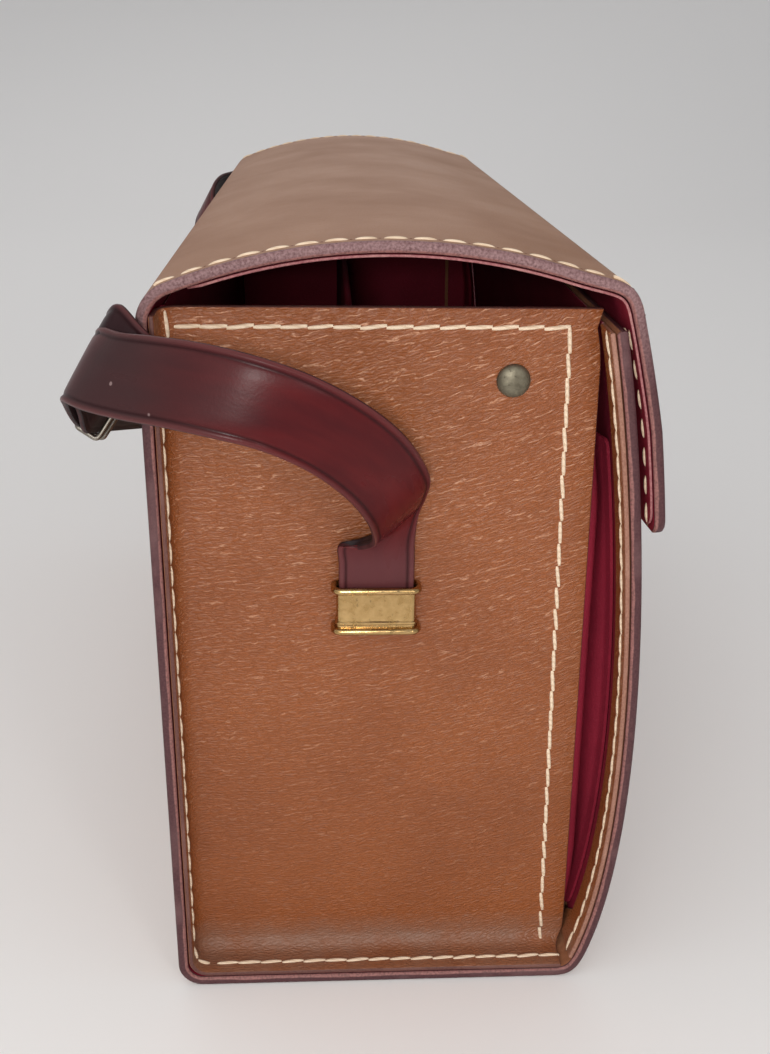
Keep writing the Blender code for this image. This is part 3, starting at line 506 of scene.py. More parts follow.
bend_top = (y_at(wall_line, TOE_BEND), TOE_BEND)
toe_turn = bezier((bend_top, (TOE_Y - 0.0006, 0.0016), (TOE_Y + 0.0010, 0.0), (TOE_Y + TOE_BEND, 0.0)), 12)
front_line = [point for point in wall_line if point[1] > TOE_BEND + 0.001] + toe_turn + [(TOE_JOIN_Y, 0.0)]
front_leather = leather_sheet(
    "front_leather", front_line, END_X, LEATHER, [WALL_HIDE, PLUM_EDGE, FLESH], EDGE_ROUND, (True, False)
)
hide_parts("front_wall")
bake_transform(front_leather)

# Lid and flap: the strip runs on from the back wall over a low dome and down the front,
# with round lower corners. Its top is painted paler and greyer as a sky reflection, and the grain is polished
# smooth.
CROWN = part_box("lid_leather")[1].z
FLAP_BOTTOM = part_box("lid_leather")[0].z
CROWN_OFFSET = 0.004
SHOULDER = 0.010
FRONT_SHOULDER_SETBACK = 0.024
FLAP_GAP = 0.0016
FLAP_CORNER = 0.005
# Colours of the painted sky reflection on the lid's top.
LID_TAN = (0.360, 0.160, 0.066)
LID_SHADE = (0.310, 0.133, 0.053)
LID_EDGE_PALE = (0.285, 0.165, 0.166)
FLARE = 0.0016
FLAP_TURN = 0.55
HEM_START = 0.007
HEM_ROWS = (0.0055, 0.0042, 0.0031, 0.0022, 0.0)
FADE_LOW = 0.176
FADE_HIGH = 0.196
FLARE_TOP = 0.186
FLARE_FADE = 0.025
LID_HIDE = hide("lid_hide", *WALL_DYE_AND_HIGHLIGHT, FINE_GRAIN, 0.00005, 0.47, 0.18, EDGE_DARK)
LID_EDGE = dyed_edge("lid_edge", EDGE_PLUM, EDGE_DARK, EDGE_PALE, EDGE_PINK, LID_EDGE_PALE)


def paint_sky_reflection(material, colour, shade, low, high):
    """Paints a paler, greyer sky reflection into a finish, fading in between two heights."""
    tree = material.node_tree
    base = tree.nodes["Principled BSDF"].inputs["Base Color"]
    dyed = base.links[0].from_socket
    place = add(tree, "ShaderNodeTexCoord").outputs["Object"]
    level = parts(tree, place)["Z"]
    sky_reflected = tint(tree, spread(tree, cloud(tree, place, 0.035), 0.35, 0.65), shade, colour)
    tree.links.new(tint(tree, spread(tree, level, low, high, 0.0, 0.8), dyed, sky_reflected), base)


# The lid's top is painted paler and greyer as a sky reflection.
paint_sky_reflection(LID_HIDE, LID_TAN, LID_SHADE, FADE_LOW, FADE_HIGH)


def dome_line():
    """Outer face of the lid in (y, z), from the back hinge over the dome to the flap's hem."""
    hinge_z = WALL_TOP + CLEARANCE
    rise = CROWN - hinge_z
    reach = BACK_Y - SHOULDER - CROWN_OFFSET
    radius = (reach ** 2 + rise ** 2 - SHOULDER ** 2) / (2 * (rise - SHOULDER))
    centre = (CROWN_OFFSET, CROWN - radius)
    shoulder = (BACK_Y - SHOULDER, hinge_z)
    meet = math.degrees(math.atan2(shoulder[1] - centre[1], shoulder[0] - centre[0]))
    leave = math.degrees(math.acos((FRONT_Y + FRONT_SHOULDER_SETBACK - centre[0]) / radius))
    top = arc(shoulder, SHOULDER, 0.0, meet) + arc(centre, radius, meet, leave, 24)[1:]
    flap_line = moved_line(wall_line, -FLAP_GAP - LEATHER)
    hang = [point for point in flap_line if point[1] > FLAP_BOTTOM + HEM_START]
    start, end = Vector(top[-1]), Vector(hang[0])
    slope = (start - Vector(top[-2])).normalized()
    fall = (end - Vector(hang[1])).normalized()
    pull = FLAP_TURN * (end - start).length
    turn = bezier((start, start + slope * pull, end + fall * pull, end), 16)
    hem = [FLAP_BOTTOM + rise for rise in HEM_ROWS]
    return top + turn[1:] + hang[1:] + [(y_at(flap_line, z), z) for z in hem]


def flared(place):
    """Stands the free ends of the flap a little off the front wall."""
    hanging = min(max((FLARE_TOP - place.z) / FLARE_FADE, 0.0), 1.0) if place.y < 0.0 else 0.0
    return place + Vector((0.0, -FLARE * hanging * (abs(place.x) / END_X) ** 6, 0.0))


lid_line = [(BACK_Y, LID_JOIN_Z), (BACK_Y, 0.177), (BACK_Y, 0.181)] + dome_line()
LID_FINISHES = [LID_HIDE, LID_EDGE, FLESH]
lid_leather = leather_sheet(
    "lid_and_flap", lid_line, END_X, LEATHER, LID_FINISHES, EDGE_ROUND, (False, True), corner=FLAP_CORNER
)
for vert in lid_leather.data.vertices:
    vert.co = flared(vert.co)
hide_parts("lid_leather")
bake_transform(lid_leather)

# Red lining: thin dyed cloth glued to the leather and caught in the seams, a little short of the
# cut edges, where its own edge shows as a pale pink line.
LINING = 0.0006
LINING_HEM = 0.0008
LINING_SETBACK = 0.0075
LINING_ROUND = 0.00022
FRONT_LINING_RISE = 0.006
PANEL_X = END_X - 0.011
PANEL_THICKNESS = 0.0022
LINED_X = PANEL_X - PANEL_THICKNESS - CLEARANCE - LINING
BOARD_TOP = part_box("base_board")[1].z
LINING_RED = (0.260, 0.016, 0.036)
LINING_DARK = (0.190, 0.011, 0.026)
LINING_PINK = (0.42, 0.17, 0.17)


def lining_cloth(name):
    """Close plain weave, dyed deep red, with a slight sheen and worn patches."""
    material, tree, shader, place, lay = new_finish(name, 0.72)
    patches = cloud(tree, place, 0.028)
    threads = cloud(tree, place, 0.0007, 2.0)
    cloth = tint(tree, spread(tree, patches, 0.3, 0.7), LINING_DARK, LINING_RED)
    flecked = tint(tree, spread(tree, threads, 0.55, 0.85, 0.0, 0.35), cloth, (0.34, 0.05, 0.08))
    tree.links.new(flecked, shader.inputs["Base Color"])
    shader.inputs["Specular IOR Level"].default_value = 0.15
    raise_grain(tree, shader, threads, 0.0001)
    return material


LINING_CLOTH = lining_cloth("lining_cloth")
for lined in (lid_leather, back_and_base):
    lined.data.materials[2] = LINING_CLOTH
PINK_EDGE = dyed_edge("lining_edge", LINING_PINK, (0.20, 0.05, 0.06), (0.55, 0.32, 0.28))
LINING_FINISHES = [LINING_CLOTH, PINK_EDGE, LINING_CLOTH]


def lining(name, line, half_width, body, stands_for, ends=(True, True), corner=0.0):
    """A lining sheet along a line that already lies inside the leather."""
    piece = leather_sheet(name, line, half_width, LINING, LINING_FINISHES, LINING_ROUND, ends, corner=corner)
    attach(piece, body)
    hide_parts(stands_for)
    return piece


lid_lined = [
    point
    for point in moved_line(lid_line, INSIDE)
    if point[0] < BACK_Y - LINING_SETBACK and point[1] > FLAP_BOTTOM + LINING_HEM
]
lid_lining = lining(
    "lid_lining_cloth", lid_lined, END_X - LINING_HEM, "lid", "lid_lining", corner=FLAP_CORNER
)
for vert in lid_lining.data.vertices:
    vert.co = flared(vert.co)
LINING_REACH = LINED_X - CLEARANCE
lined_from = BOARD_TOP + CLEARANCE
back_lined = [(BACK_Y - INSIDE, lined_from + k * (WALL_TOP - BOARD_TOP - CLEARANCE) / 6) for k in range(7)]
lining("back_lining_cloth", back_lined, LINING_REACH, "shell", "back_lining")
inner_wall = moved_line(wall_line, INSIDE)
front_lined = [point for point in inner_wall if BOARD_TOP + FRONT_LINING_RISE < point[1] < WALL_TOP]
FRONT_REACH = PANEL_X - CLEARANCE
lining("front_lining_cloth", front_lined, FRONT_REACH, "front", "front_lining")

# Base board and divider: stiff boards wrapped in the same red cloth, standing loose in the bag.
# The divider parts the deep back compartment from the front one.
BOARD_ROUND = 0.0008


def covered_board(name, node):
    """A board with soft rounded edges, in the place of its solid."""
    low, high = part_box(node)
    work = bmesh.new()
    bmesh.ops.create_cube(work, size=1.0)
    middle, size = (low + high) / 2, high - low
    for vert in work.verts:
        vert.co = Vector(vert.co[k] * size[k] + middle[k] for k in range(3))
    rounding = {"offset": BOARD_ROUND, "offset_type": "OFFSET", "segments": 4, "profile": 0.5}
    bmesh.ops.bevel(work, geom=work.edges[:], affect="EDGES", **rounding)
    mesh = mesh_of(name, work)
    mesh.shade_smooth()
    mesh.materials.append(LINING_CLOTH)
    piece = placed(name, mesh)
    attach(piece, "shell")
    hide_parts(node)


covered_board("covered_base_board", "base_board")
covered_board("covered_divider", "divider")

# End panels: pebbled hide moulded into a shallow pan, face set back from the ends of the strip,
# whose back and base edges turn out into flanges that are sewn to the strip.
PANEL_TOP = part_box("end_panel_left")[1].z
FREE_TOP = 0.1047
FREE_BOTTOM = 0.1084
TOE_HEIGHT = 0.017
FLANGE = 0.0012
FLANGE_END = END_X - 0.0005
FOLD = 0.0040
PANEL_TAN = (0.292, 0.083, 0.0210)
PANEL_SHADE = (0.250, 0.069, 0.0175)
# Painted highlight colour of the panel's wrinkle lines and glints.
PANEL_HIGHLIGHT = (0.58, 0.30, 0.18)
PEBBLE = (0.0008, 0.0027, 0.00072)
PANEL_HIDE = hide("panel_hide", PANEL_TAN, PANEL_SHADE, PANEL_HIGHLIGHT, PEBBLE, 0.00014, 0.42, 0.55, sweep=1.8)
PANEL_RIM = dyed_edge("panel_rim", (0.145, 0.058, 0.046), (0.085, 0.032, 0.027), (0.21, 0.10, 0.08))
SCUFF_GREY = (0.24, 0.145, 0.105)
SCUFF_HEIGHT = 0.0065
SCUFF_REACH = 0.008


def scuff(material, height, reach):
    """Rubs a grey dusty band into a finish at a height."""
    tree = material.node_tree
    base = tree.nodes["Principled BSDF"].inputs["Base Color"]
    clean = base.links[0].from_socket
    place = add(tree, "ShaderNodeTexCoord").outputs["Object"]
    level = parts(tree, place)["Z"]
    above = worked(tree, "SUBTRACT", level, height)
    away = worked(tree, "ABSOLUTE", above)
    dust = spread(tree, cloud(tree, place, 0.012, 4.0), 0.3, 0.7, 0.2, 0.75)
    share = product(tree, spread(tree, away, 0.0, reach, 1.0, 0.0), dust)
    tree.links.new(tint(tree, share, clean, SCUFF_GREY), base)


scuff(PANEL_HIDE, SCUFF_HEIGHT, SCUFF_REACH)


def free_edge(z):
    """The y of the panel's free front edge at a height."""
    share = (PANEL_TOP - z) / (PANEL_TOP - TOE_HEIGHT)
    edge = BACK_Y - FREE_TOP - share * (FREE_BOTTOM - FREE_TOP)
    bend_room = 0.0005 + 0.3 * max(0.0, TOE_BEND - z)
    return max(edge, y_at(wall_line, z) + INSIDE + FLANGE + bend_room)


def pan_place(past_back, past_base):
    """Moves a point round the folds: past_back and past_base say how far it lies beyond their start."""
    run = max(past_back, past_base, 0.0)
    if run == 0.0:
        return 0.0, 0.0, 0.0, 0.0
    back, base = max(past_back, 0.0), max(past_base, 0.0)
    heading = math.pi / 4 * base / back if back >= base else math.pi / 2 - math.pi / 4 * back / base
    turn = min(run / FOLD, math.pi / 2)
    aside = FOLD * math.sin(turn)
    out = FOLD * (1.0 - math.cos(turn)) + max(0.0, run - FOLD * math.pi / 2)
    return aside * math.cos(heading), aside * math.sin(heading), out, turn


def sheet_faces(work, grid, flip=False):
    """Faces between the rows of a grid of points."""
    for near, far in zip(grid, grid[1:]):
        for k in range(len(near) - 1):
            corners = (near[k], near[k + 1], far[k + 1], far[k])
            work.faces.new(corners[::-1] if flip else corners)


def settled(shape):
    """The mesh of a shape with its modifiers carried out; the shape itself goes."""
    mesh = bpy.data.meshes.new_from_object(shape.evaluated_get(bpy.context.evaluated_depsgraph_get()))
    bpy.data.objects.remove(shape)
    return mesh


def end_panel(side, sign):
    """The pan of one end: a grid over its face, carried on round both folds and given its thickness."""
    back_start = BACK_Y - INSIDE - FLANGE - FOLD
    base_start = INSIDE + FLANGE + FOLD
    deepest = FOLD * math.pi / 2 + (FLANGE_END - PANEL_X - FOLD)
    fold_runs = [FOLD * math.pi / 2 * k / 6 for k in range(1, 7)]
    fold_runs += [FOLD * math.pi / 2 + k * (deepest - FOLD * math.pi / 2) / 3 for k in (1, 2, 3)]
    face_heights = [PANEL_TOP - (PANEL_TOP - base_start) * k / 40 for k in range(41)]
    rows = [(z, 0.0) for z in face_heights] + [(base_start, run) for run in fold_runs]
    shares = [k / 24 for k in range(25)]
    columns = [(share, 0.0) for share in shares] + [(1.0, run) for run in fold_runs]
    work = bmesh.new()
    layer = work.verts.layers.float_vector.new("lay")
    weights = work.verts.layers.deform.verify()
    grid = []
    for z, past_base in rows:
        line = []
        edge = free_edge(z - pan_place(0.0, past_base)[1])
        for share, past_back in columns:
            y = edge + share * (back_start - edge)
            aside_y, aside_z, out, turn = pan_place(past_back, past_base)
            vert = work.verts.new((sign * (PANEL_X + out), y + aside_y, z - aside_z))
            vert[layer] = (y, z, min(PANEL_TOP - z, abs(y - edge), deepest - max(past_back, past_base)))
            vert[weights][0] = 1.0 - (1.0 - FLANGE / PANEL_THICKNESS) * turn / (math.pi / 2)
            line.append(vert)
        grid.append(line)
    sheet_faces(work, grid, sign > 0)
    mesh = mesh_of("panel_shape", work)
    for finish in (PANEL_HIDE, PANEL_RIM, FLESH):
        mesh.materials.append(finish)
    shape = placed("panel_shape", mesh)
    shape.vertex_groups.new(name="thickness")
    wall = shape.modifiers.new("thickness", "SOLIDIFY")
    wall.thickness = PANEL_THICKNESS
    wall.offset = -1.0
    wall.vertex_group = "thickness"
    wall.material_offset = 2
    wall.material_offset_rim = 1
    rounded = shape.modifiers.new("rounded", "BEVEL")
    rounded.width = 0.0004
    rounded.segments = 3
    rounded.limit_method = "ANGLE"
    rounded.angle_limit = math.radians(60)
    panel_mesh = settled(shape)
    panel_mesh.shade_smooth()
    panel_mesh.set_sharp_from_angle(angle=math.radians(50))
    piece = placed(f"end_panel_{side}_hide", panel_mesh)
    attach(piece, "shell")
    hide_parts(f"end_panel_{side}")
    return piece


ENDS = (("left", -1), ("right", 1))
end_panels = {side: end_panel(side, sign) for side, sign in ENDS}

# Lining of the end panels: flat red cloth glued behind each panel, cut to the slope of its free edge,
# with its own edge just showing over the top.
SEAM = 0.006
SEAM_PLAY = 0.0015
LINING_PEEP = 0.0008


def end_lining(side, sign):
    """Cloth cut to the slope of the panel's free edge."""
    low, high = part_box(f"end_lining_{side}")
    top_line = high.z + LINING_PEEP
    cloth_x = sign * (LINED_X + LINING / 2)
    work = bmesh.new()
    layer = work.verts.layers.float_vector.new("lay")
    grid = []
    for row in range(21):
        z = low.z + (top_line - low.z) * row / 20
        front = free_edge(max(z, TOE_HEIGHT)) + SEAM + SEAM_PLAY
        grid.append([work.verts.new((cloth_x, front + (high.y - front) * k / 12, z)) for k in range(13)])
    for vert in work.verts:
        vert[layer] = (vert.co.y, vert.co.z, top_line - vert.co.z)
    sheet_faces(work, grid, sign > 0)
    bmesh.ops.recalc_face_normals(work, faces=work.faces)
    mesh = mesh_of("lining_shape", work)
    mesh.materials.append(LINING_CLOTH)
    shape = placed("lining_shape", mesh)
    wall = shape.modifiers.new("thickness", "SOLIDIFY")
    wall.thickness = LINING
    wall.offset = 0.0
    finished = settled(shape)
    piece = placed(f"end_lining_{side}_cloth", finished)
    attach(piece, "shell")
    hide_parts(f"end_lining_{side}")


for side, sign in ENDS:
    end_lining(side, sign)

# Front strips: narrow strips of the same tan hide, sewn inside each end of the front wall,
# that close the slit in front of the panel's free edge.
STRIP_EDGE = 0.0004
TAB_TOP = 0.0122
TAB_REACH = 0.004
PINK_RIM = dyed_edge("pink_rim", (0.36, 0.18, 0.125), (0.22, 0.09, 0.06), (0.44, 0.25, 0.19))
STRIP_FINISHES = [FLESH, PINK_RIM, PANEL_HIDE]
strip_line = [point for point in inner_wall if point[1] > BOARD_TOP]
for side, sign in ENDS:
    inner_x, outer_x = PANEL_X + CLEARANCE, FLANGE_END
    half_strip = (outer_x - inner_x) / 2
    middle_x = sign * (outer_x + inner_x) / 2
    strip_name = f"front_strip_{side}"
    strip = leather_sheet(
        strip_name, strip_line, half_strip, FLANGE, STRIP_FINISHES, STRIP_EDGE, (True, True), middle_x
    )
    for vert in strip.data.vertices:
        if abs(vert.co.x) < inner_x + 2 * STRIP_EDGE and vert.co.z < TAB_TOP:
            vert.co.x -= sign * TAB_REACH
    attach(strip, "front")
    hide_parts(f"front_flange_{side}")

# Gussets: one fold of red cloth at each end, sewn behind the panel's free edge and inside the
# front wall. Its soft roll shows in the slit.
GUSSET_THICKNESS = 0.0008
GUSSET_BOTTOM = 0.013
GUSSET_TOP = 0.154
GUSSET_FOLD = 0.013
ROLL_OUT = 0.0026


def gusset(side, sign):
    """Cloth from the panel's seam out into a roll, back into the fold and on to the front wall."""
    fold_x = PANEL_X - PANEL_THICKNESS - CLEARANCE - GUSSET_THICKNESS / 2
    rows = 36
    work = bmesh.new()
    grid = []
    for row in range(rows + 1):
        share = row / rows
        z = GUSSET_BOTTOM + (GUSSET_TOP - GUSSET_BOTTOM) * share
        edge = free_edge(z)
        wall = y_at(wall_line, z) + INSIDE + LINING + GUSSET_THICKNESS / 2 + CLEARANCE
        slit = edge - wall
        roll = min(ROLL_OUT, 0.45 * slit) * min(1.0, (1.0 - share) * 9.0 + 0.15, share * 12.0 + 0.2)
        section = (
            (fold_x, edge + SEAM),
            (fold_x, edge + 0.35 * SEAM),
            (fold_x + 0.0006, edge - 0.25 * roll),
            (fold_x - 0.0002, edge - 0.8 * roll),
            (fold_x - 0.0030, edge - roll),
            (fold_x - 0.55 * GUSSET_FOLD, edge - 0.85 * roll - 0.0004),
            (fold_x - GUSSET_FOLD, edge - roll - 0.0007),
            (fold_x - 0.60 * GUSSET_FOLD, edge - roll - 0.0016),
            (fold_x - 0.30 * GUSSET_FOLD, wall + 0.35 * (slit - roll)),
            (fold_x - 0.0035, wall + 0.0006),
            (fold_x - 0.0005, wall),
        )
        grid.append([work.verts.new((sign * x, y, z)) for x, y in section])
    sheet_faces(work, grid)
    bmesh.ops.recalc_face_normals(work, faces=work.faces)
    mesh = mesh_of("gusset_shape", work)
    mesh.materials.append(LINING_CLOTH)
    shape = placed("gusset_shape", mesh)
    smooth = shape.modifiers.new("smooth", "SUBSURF")
    smooth.levels = 2
    smooth.render_levels = 2
    wall_modifier = shape.modifiers.new("thickness", "SOLIDIFY")
    wall_modifier.thickness = GUSSET_THICKNESS
    wall_modifier.offset = 0.0
    finished = settled(shape)
    finished.shade_smooth()
    finished.set_sharp_from_angle(angle=math.radians(60))
    piece = placed(f"gusset_{side}_cloth", finished)
    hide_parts(f"gusset_{side}")
    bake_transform(piece)


for side, sign in ENDS:
    gusset(side, sign)

# End rivets: a low domed head high on each panel, clenched over a washer inside.
# Old nickelled brass, gone dull grey-green with paler rubbed spots.
RIVET_Y = BACK_Y - 0.0847
RIVET_Z = 0.1697
RIVET_RADIUS = 0.0040
RIVET_HEIGHT = 0.0017
SHANK_RADIUS = 0.0015
SHANK_LENGTH = 0.0040


def old_metal(name, colour, dark, roughness, spot):
    """Tarnished metal: mottled, with small dark spots that are slightly raised."""
    material, tree, shader, place, lay = new_finish(name, roughness, 1.0)
    mottle = cloud(tree, place, 0.0022, 4.0)
    spots = cloud(tree, place, spot, 2.0)
    blotched = tint(tree, spread(tree, mottle, 0.35, 0.7), dark, colour)
    spotted = tint(tree, spread(tree, spots, 0.63, 0.74, 0.0, 0.7), blotched, tuple(0.35 * c for c in dark))
    tree.links.new(spotted, shader.inputs["Base Color"])
    polish = spread(tree, mottle, 0.3, 0.7, roughness + 0.12, roughness - 0.05)
    tree.links.new(polish, shader.inputs["Roughness"])
    raise_grain(tree, shader, spots, 0.00004)
    return material


OLD_NICKEL = old_metal("old_nickel", (0.25, 0.225, 0.165), (0.165, 0.145, 0.105), 0.60, 0.0012)
BRASS = old_metal("worn_brass", (0.55, 0.365, 0.165), (0.41, 0.26, 0.105), 0.20, 0.0011)


def turned(name, profile, place, direction, finish):
    """A profile of (radius, height) turned about a line through place."""
    turns = 48
    basis = Vector(direction).to_track_quat("Z", "Y").to_matrix()
    loops = []
    for step in range(turns):
        angle = 2 * math.pi * step / turns
        spoke = Vector((math.cos(angle), math.sin(angle), 0.0))
        loops.append([place + basis @ (spoke * max(r, 1e-6) + Vector((0.0, 0.0, h))) for r, h in profile])
    kinds = [0] * (len(profile) - 1)
    lays = [[(0.0, 0.0, 1.0)] * len(profile)] * turns
    piece = skin(name, loops, kinds, [finish], lays, ring=True)
    work = bmesh.new()
    work.from_mesh(piece.data)
    bmesh.ops.remove_doubles(work, verts=work.verts, dist=0.000004)
    bmesh.ops.recalc_face_normals(work, faces=work.faces)
    work.to_mesh(piece.data)
    work.free()
    piece.data.shade_smooth()
    piece.data.set_sharp_from_angle(angle=SHARP_TURN)
    return piece


def refinish(node, finish):
    """Gives a solid that stays in view its own finish."""
    solid = frame["nodes"][node]
    solid.data.materials.clear()
    solid.data.materials.append(finish)


rivet_profile = [(0.0, -SHANK_LENGTH), (SHANK_RADIUS, -SHANK_LENGTH), (SHANK_RADIUS, -CLEARANCE)]
rivet_profile += [(0.0038, -CLEARANCE), (RIVET_RADIUS, 0.0002)]
for step in range(1, 9):
    angle = math.pi / 2 * step / 8
    rivet_profile.append((RIVET_RADIUS * math.cos(angle) ** 0.9, CLEARANCE + RIVET_HEIGHT * math.sin(angle)))
for side, sign in ENDS:
    rivet_place = Vector((sign * PANEL_X, RIVET_Y, RIVET_Z))
    rivet = turned(f"rivet_{side}_head", rivet_profile, rivet_place, (sign, 0.0, 0.0), OLD_NICKEL)
    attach(rivet, "shell")
    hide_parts(f"end_rivet_{side}")
    for node in (f"rivet_washer_{side}", f"keeper_plate_{side}"):
        refinish(node, OLD_NICKEL)

# Strap keepers: a flat brass tube on each panel with a rolled rim above and below, held by a
# rivet through its back. Polished by the strap, with small dark spots in the lacquer.
STRAP_WIDTH = 0.0185
STRAP_THICKNESS = 0.0018
KEEPER_Y = BACK_Y - 0.0533
KEEPER_Z = 0.1126
KEEPER_HEIGHT = 0.0118
KEEPER_WALL = 0.0005
KEEPER_HOLLOW = 0.0036
KEEPER_CORNER = 0.0013
KEEPER_RIM = 0.0009
KEEPER_LIP = 0.0005
KEEPER_PLAY = 0.0001
KEEPER_NECK = 0.0019
KEEPER_RIDGE = 0.00035


def oblong(half_width, low, high, corner):
    """A rounded oblong in (out, across), with the way out of it at each point."""
    points = []
    for out, across, start in (
        (high - corner, half_width - corner, 0),
        (low + corner, half_width - corner, 90),
        (low + corner, -half_width + corner, 180),
        (high - corner, -half_width + corner, 270),
    ):
        for step in range(9):
            angle = math.radians(start + 90 * step / 8)
            way = Vector((math.cos(angle), math.sin(angle)))
            points.append((Vector((out, across)) + way * corner, way))
    return points


half_keeper = STRAP_WIDTH / 2 + KEEPER_PLAY + KEEPER_WALL
keeper_ring = oblong(half_keeper, CLEARANCE, CLEARANCE + 2 * KEEPER_WALL + KEEPER_HOLLOW, KEEPER_CORNER)
shoulder = KEEPER_HEIGHT / 2
upper = [(0.0, shoulder - KEEPER_NECK)]
for step in range(15):
    angle = math.radians(-115 + 295 * step / 14)
    rim_out = KEEPER_LIP + KEEPER_RIM * math.cos(angle)
    upper.append((rim_out, shoulder - 0.0004 + KEEPER_RIM * math.sin(angle)))
upper.append((-KEEPER_WALL, shoulder - 0.0008))
ridge = [(0.00005, -shoulder + KEEPER_NECK), (KEEPER_RIDGE, -shoulder + 0.0022)]
ridge += [(KEEPER_RIDGE, -shoulder + 0.0027), (0.0, -shoulder + 0.0030)]
wall_profile = [(out, -height) for out, height in upper[:0:-1]] + ridge + upper
for side, sign in ENDS:
    loops = []
    for point, way in keeper_ring:
        at_back = way.x <= -0.5
        loop = []
        for out, height in wall_profile:
            place = point + way * (min(out, 0.0) if at_back else out)
            loop.append(Vector((sign * (PANEL_X + place.x), KEEPER_Y + place.y, KEEPER_Z + height)))
        loops.append(loop)
    lays = [[(0.0, 0.0, 1.0)] * len(wall_profile)] * len(loops)
    keeper = skin(f"keeper_{side}", loops, [0] * len(wall_profile), [BRASS], lays, ring=True)
    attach(keeper, "shell")
    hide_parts(f"strap_keeper_{side}")
    refinish(f"keeper_rivet_{side}", BRASS)

# Strap: two lengths of burgundy bridle leather, creased along both edges, each folded through its
# keeper. They overlap down the slope behind the back, where a wire slide holds them.
STRAP_PLUM = (0.105, 0.011, 0.012)
STRAP_DARK = (0.055, 0.007, 0.009)
# Colour of worn pale patches on the cut edges, and of the painted highlight on the raised edges of the face.
STRAP_WEAR_AND_HIGHLIGHT = (0.15, 0.050, 0.050)
# Painted reflection colour: dark grey where the strap bends round beyond the ends.
STRAP_REFLECTION_GREY = (0.042, 0.022, 0.023)
# Painted sheen colour of the strap's stubs.
STRAP_STUB_SHEEN = (0.110, 0.036, 0.039)
# Run along the long length from which its free end is painted in shade.
FREE_END_RUN = 0.475
STRAP_INSIDE = (0.020, 0.008, 0.010)
# Painted shade colour of the crease grooves.
STRAP_CREASE = (0.020, 0.005, 0.006)
STRAP_DUST = (0.40, 0.28, 0.27)
CREASE_IN = 0.00175
STRAP_UNDER = 0.00082
PAST_SLIDE = -0.003
LAYER_STEP = STRAP_THICKNESS + 0.0005
SHORT_RUN = 0.080
RUN_LEAD = 0.004
LONG_END = 0.002
STRAP_SAG = 0.0070


def bridle(name):
    """Waxed strap leather: glossy, clouded, dusty in places, with painted highlights on its raised edges,
    painted shade in its crease grooves and on its free end, a painted reflection where it bends and painted
    sheen on its stubs.
    """
    material, tree, shader, place, lay = new_finish(name, 0.30)
    shader.inputs["Specular IOR Level"].default_value = 0.1
    long_place = scaled(tree, lay, (1.0, 0.3, 1.0))
    patches = cloud(tree, long_place, 0.010)
    pores = cloud(tree, place, 0.0007, 2.0)
    base = tint(tree, spread(tree, patches, 0.32, 0.7), STRAP_DARK, STRAP_PLUM)
    margin = parts(tree, lay)["Z"]
    x, y, z = parts(tree, place)
    # Painted reflection: dark grey where the strap bends round behind the back, beyond the ends.
    beyond = spread(tree, worked(tree, "ABSOLUTE", x), END_X, PANEL_X + 0.020)
    bent = product(tree, spread(tree, y, 0.030, 0.058, 0.0, 0.85), beyond)
    greyed = tint(tree, bent, base, STRAP_REFLECTION_GREY)
    from_end = parts(tree, lay)["Y"]
    # Painted sheen: the first two centimetres or so of each length, at its keeper, are greyer.
    greyed = tint(tree, spread(tree, from_end, 0.017, 0.027, 0.8, 0.0), greyed, STRAP_STUB_SHEEN)
    # Painted shade: the free end past the slide, tucked inside the bend, is as dark as the strap's back.
    free_end_shade = spread(tree, from_end, FREE_END_RUN, FREE_END_RUN + 0.004, 0.0, 0.9)
    greyed = tint(tree, free_end_shade, greyed, STRAP_INSIDE)
    # Painted highlight along the raised edges of the outer face.
    edged = tint(tree, spread(tree, margin, 0.0003, 0.0014, 0.55, 0.0), greyed, STRAP_WEAR_AND_HIGHLIGHT)
    # Painted shade in the crease groove near each edge.
    from_crease = worked(tree, "SUBTRACT", margin, CREASE_IN)
    near_crease = worked(tree, "ABSOLUTE", from_crease)
    edged = tint(tree, spread(tree, near_crease, 0.0, 0.0006, 0.8, 0.0), edged, STRAP_CREASE)
    dust = add(tree, "ShaderNodeTexVoronoi", {"Vector": place, "Scale": 140.0})
    speck = spread(tree, dust.outputs["Distance"], 0.050, 0.075, 1.0, 0.0)
    pick = parts(tree, dust.outputs["Color"])["X"]
    specks = product(tree, speck, spread(tree, pick, 0.70, 0.72, 0.0, 0.5))
    dusty = tint(tree, specks, edged, STRAP_DUST)
    tree.links.new(dusty, shader.inputs["Base Color"])
    tree.links.new(spread(tree, patches, 0.3, 0.7, 0.34, 0.25), shader.inputs["Roughness"])
    raise_grain(tree, shader, pores, 0.00002)
    return material


BRIDLE = bridle("bridle_strap")
STRAP_EDGE = dyed_edge("strap_edge", STRAP_DARK, (0.02, 0.008, 0.009), STRAP_WEAR_AND_HIGHLIGHT)
STRAP_BACK = dyed_edge("strap_inside", STRAP_INSIDE, (0.012, 0.006, 0.007), (0.07, 0.03, 0.03))

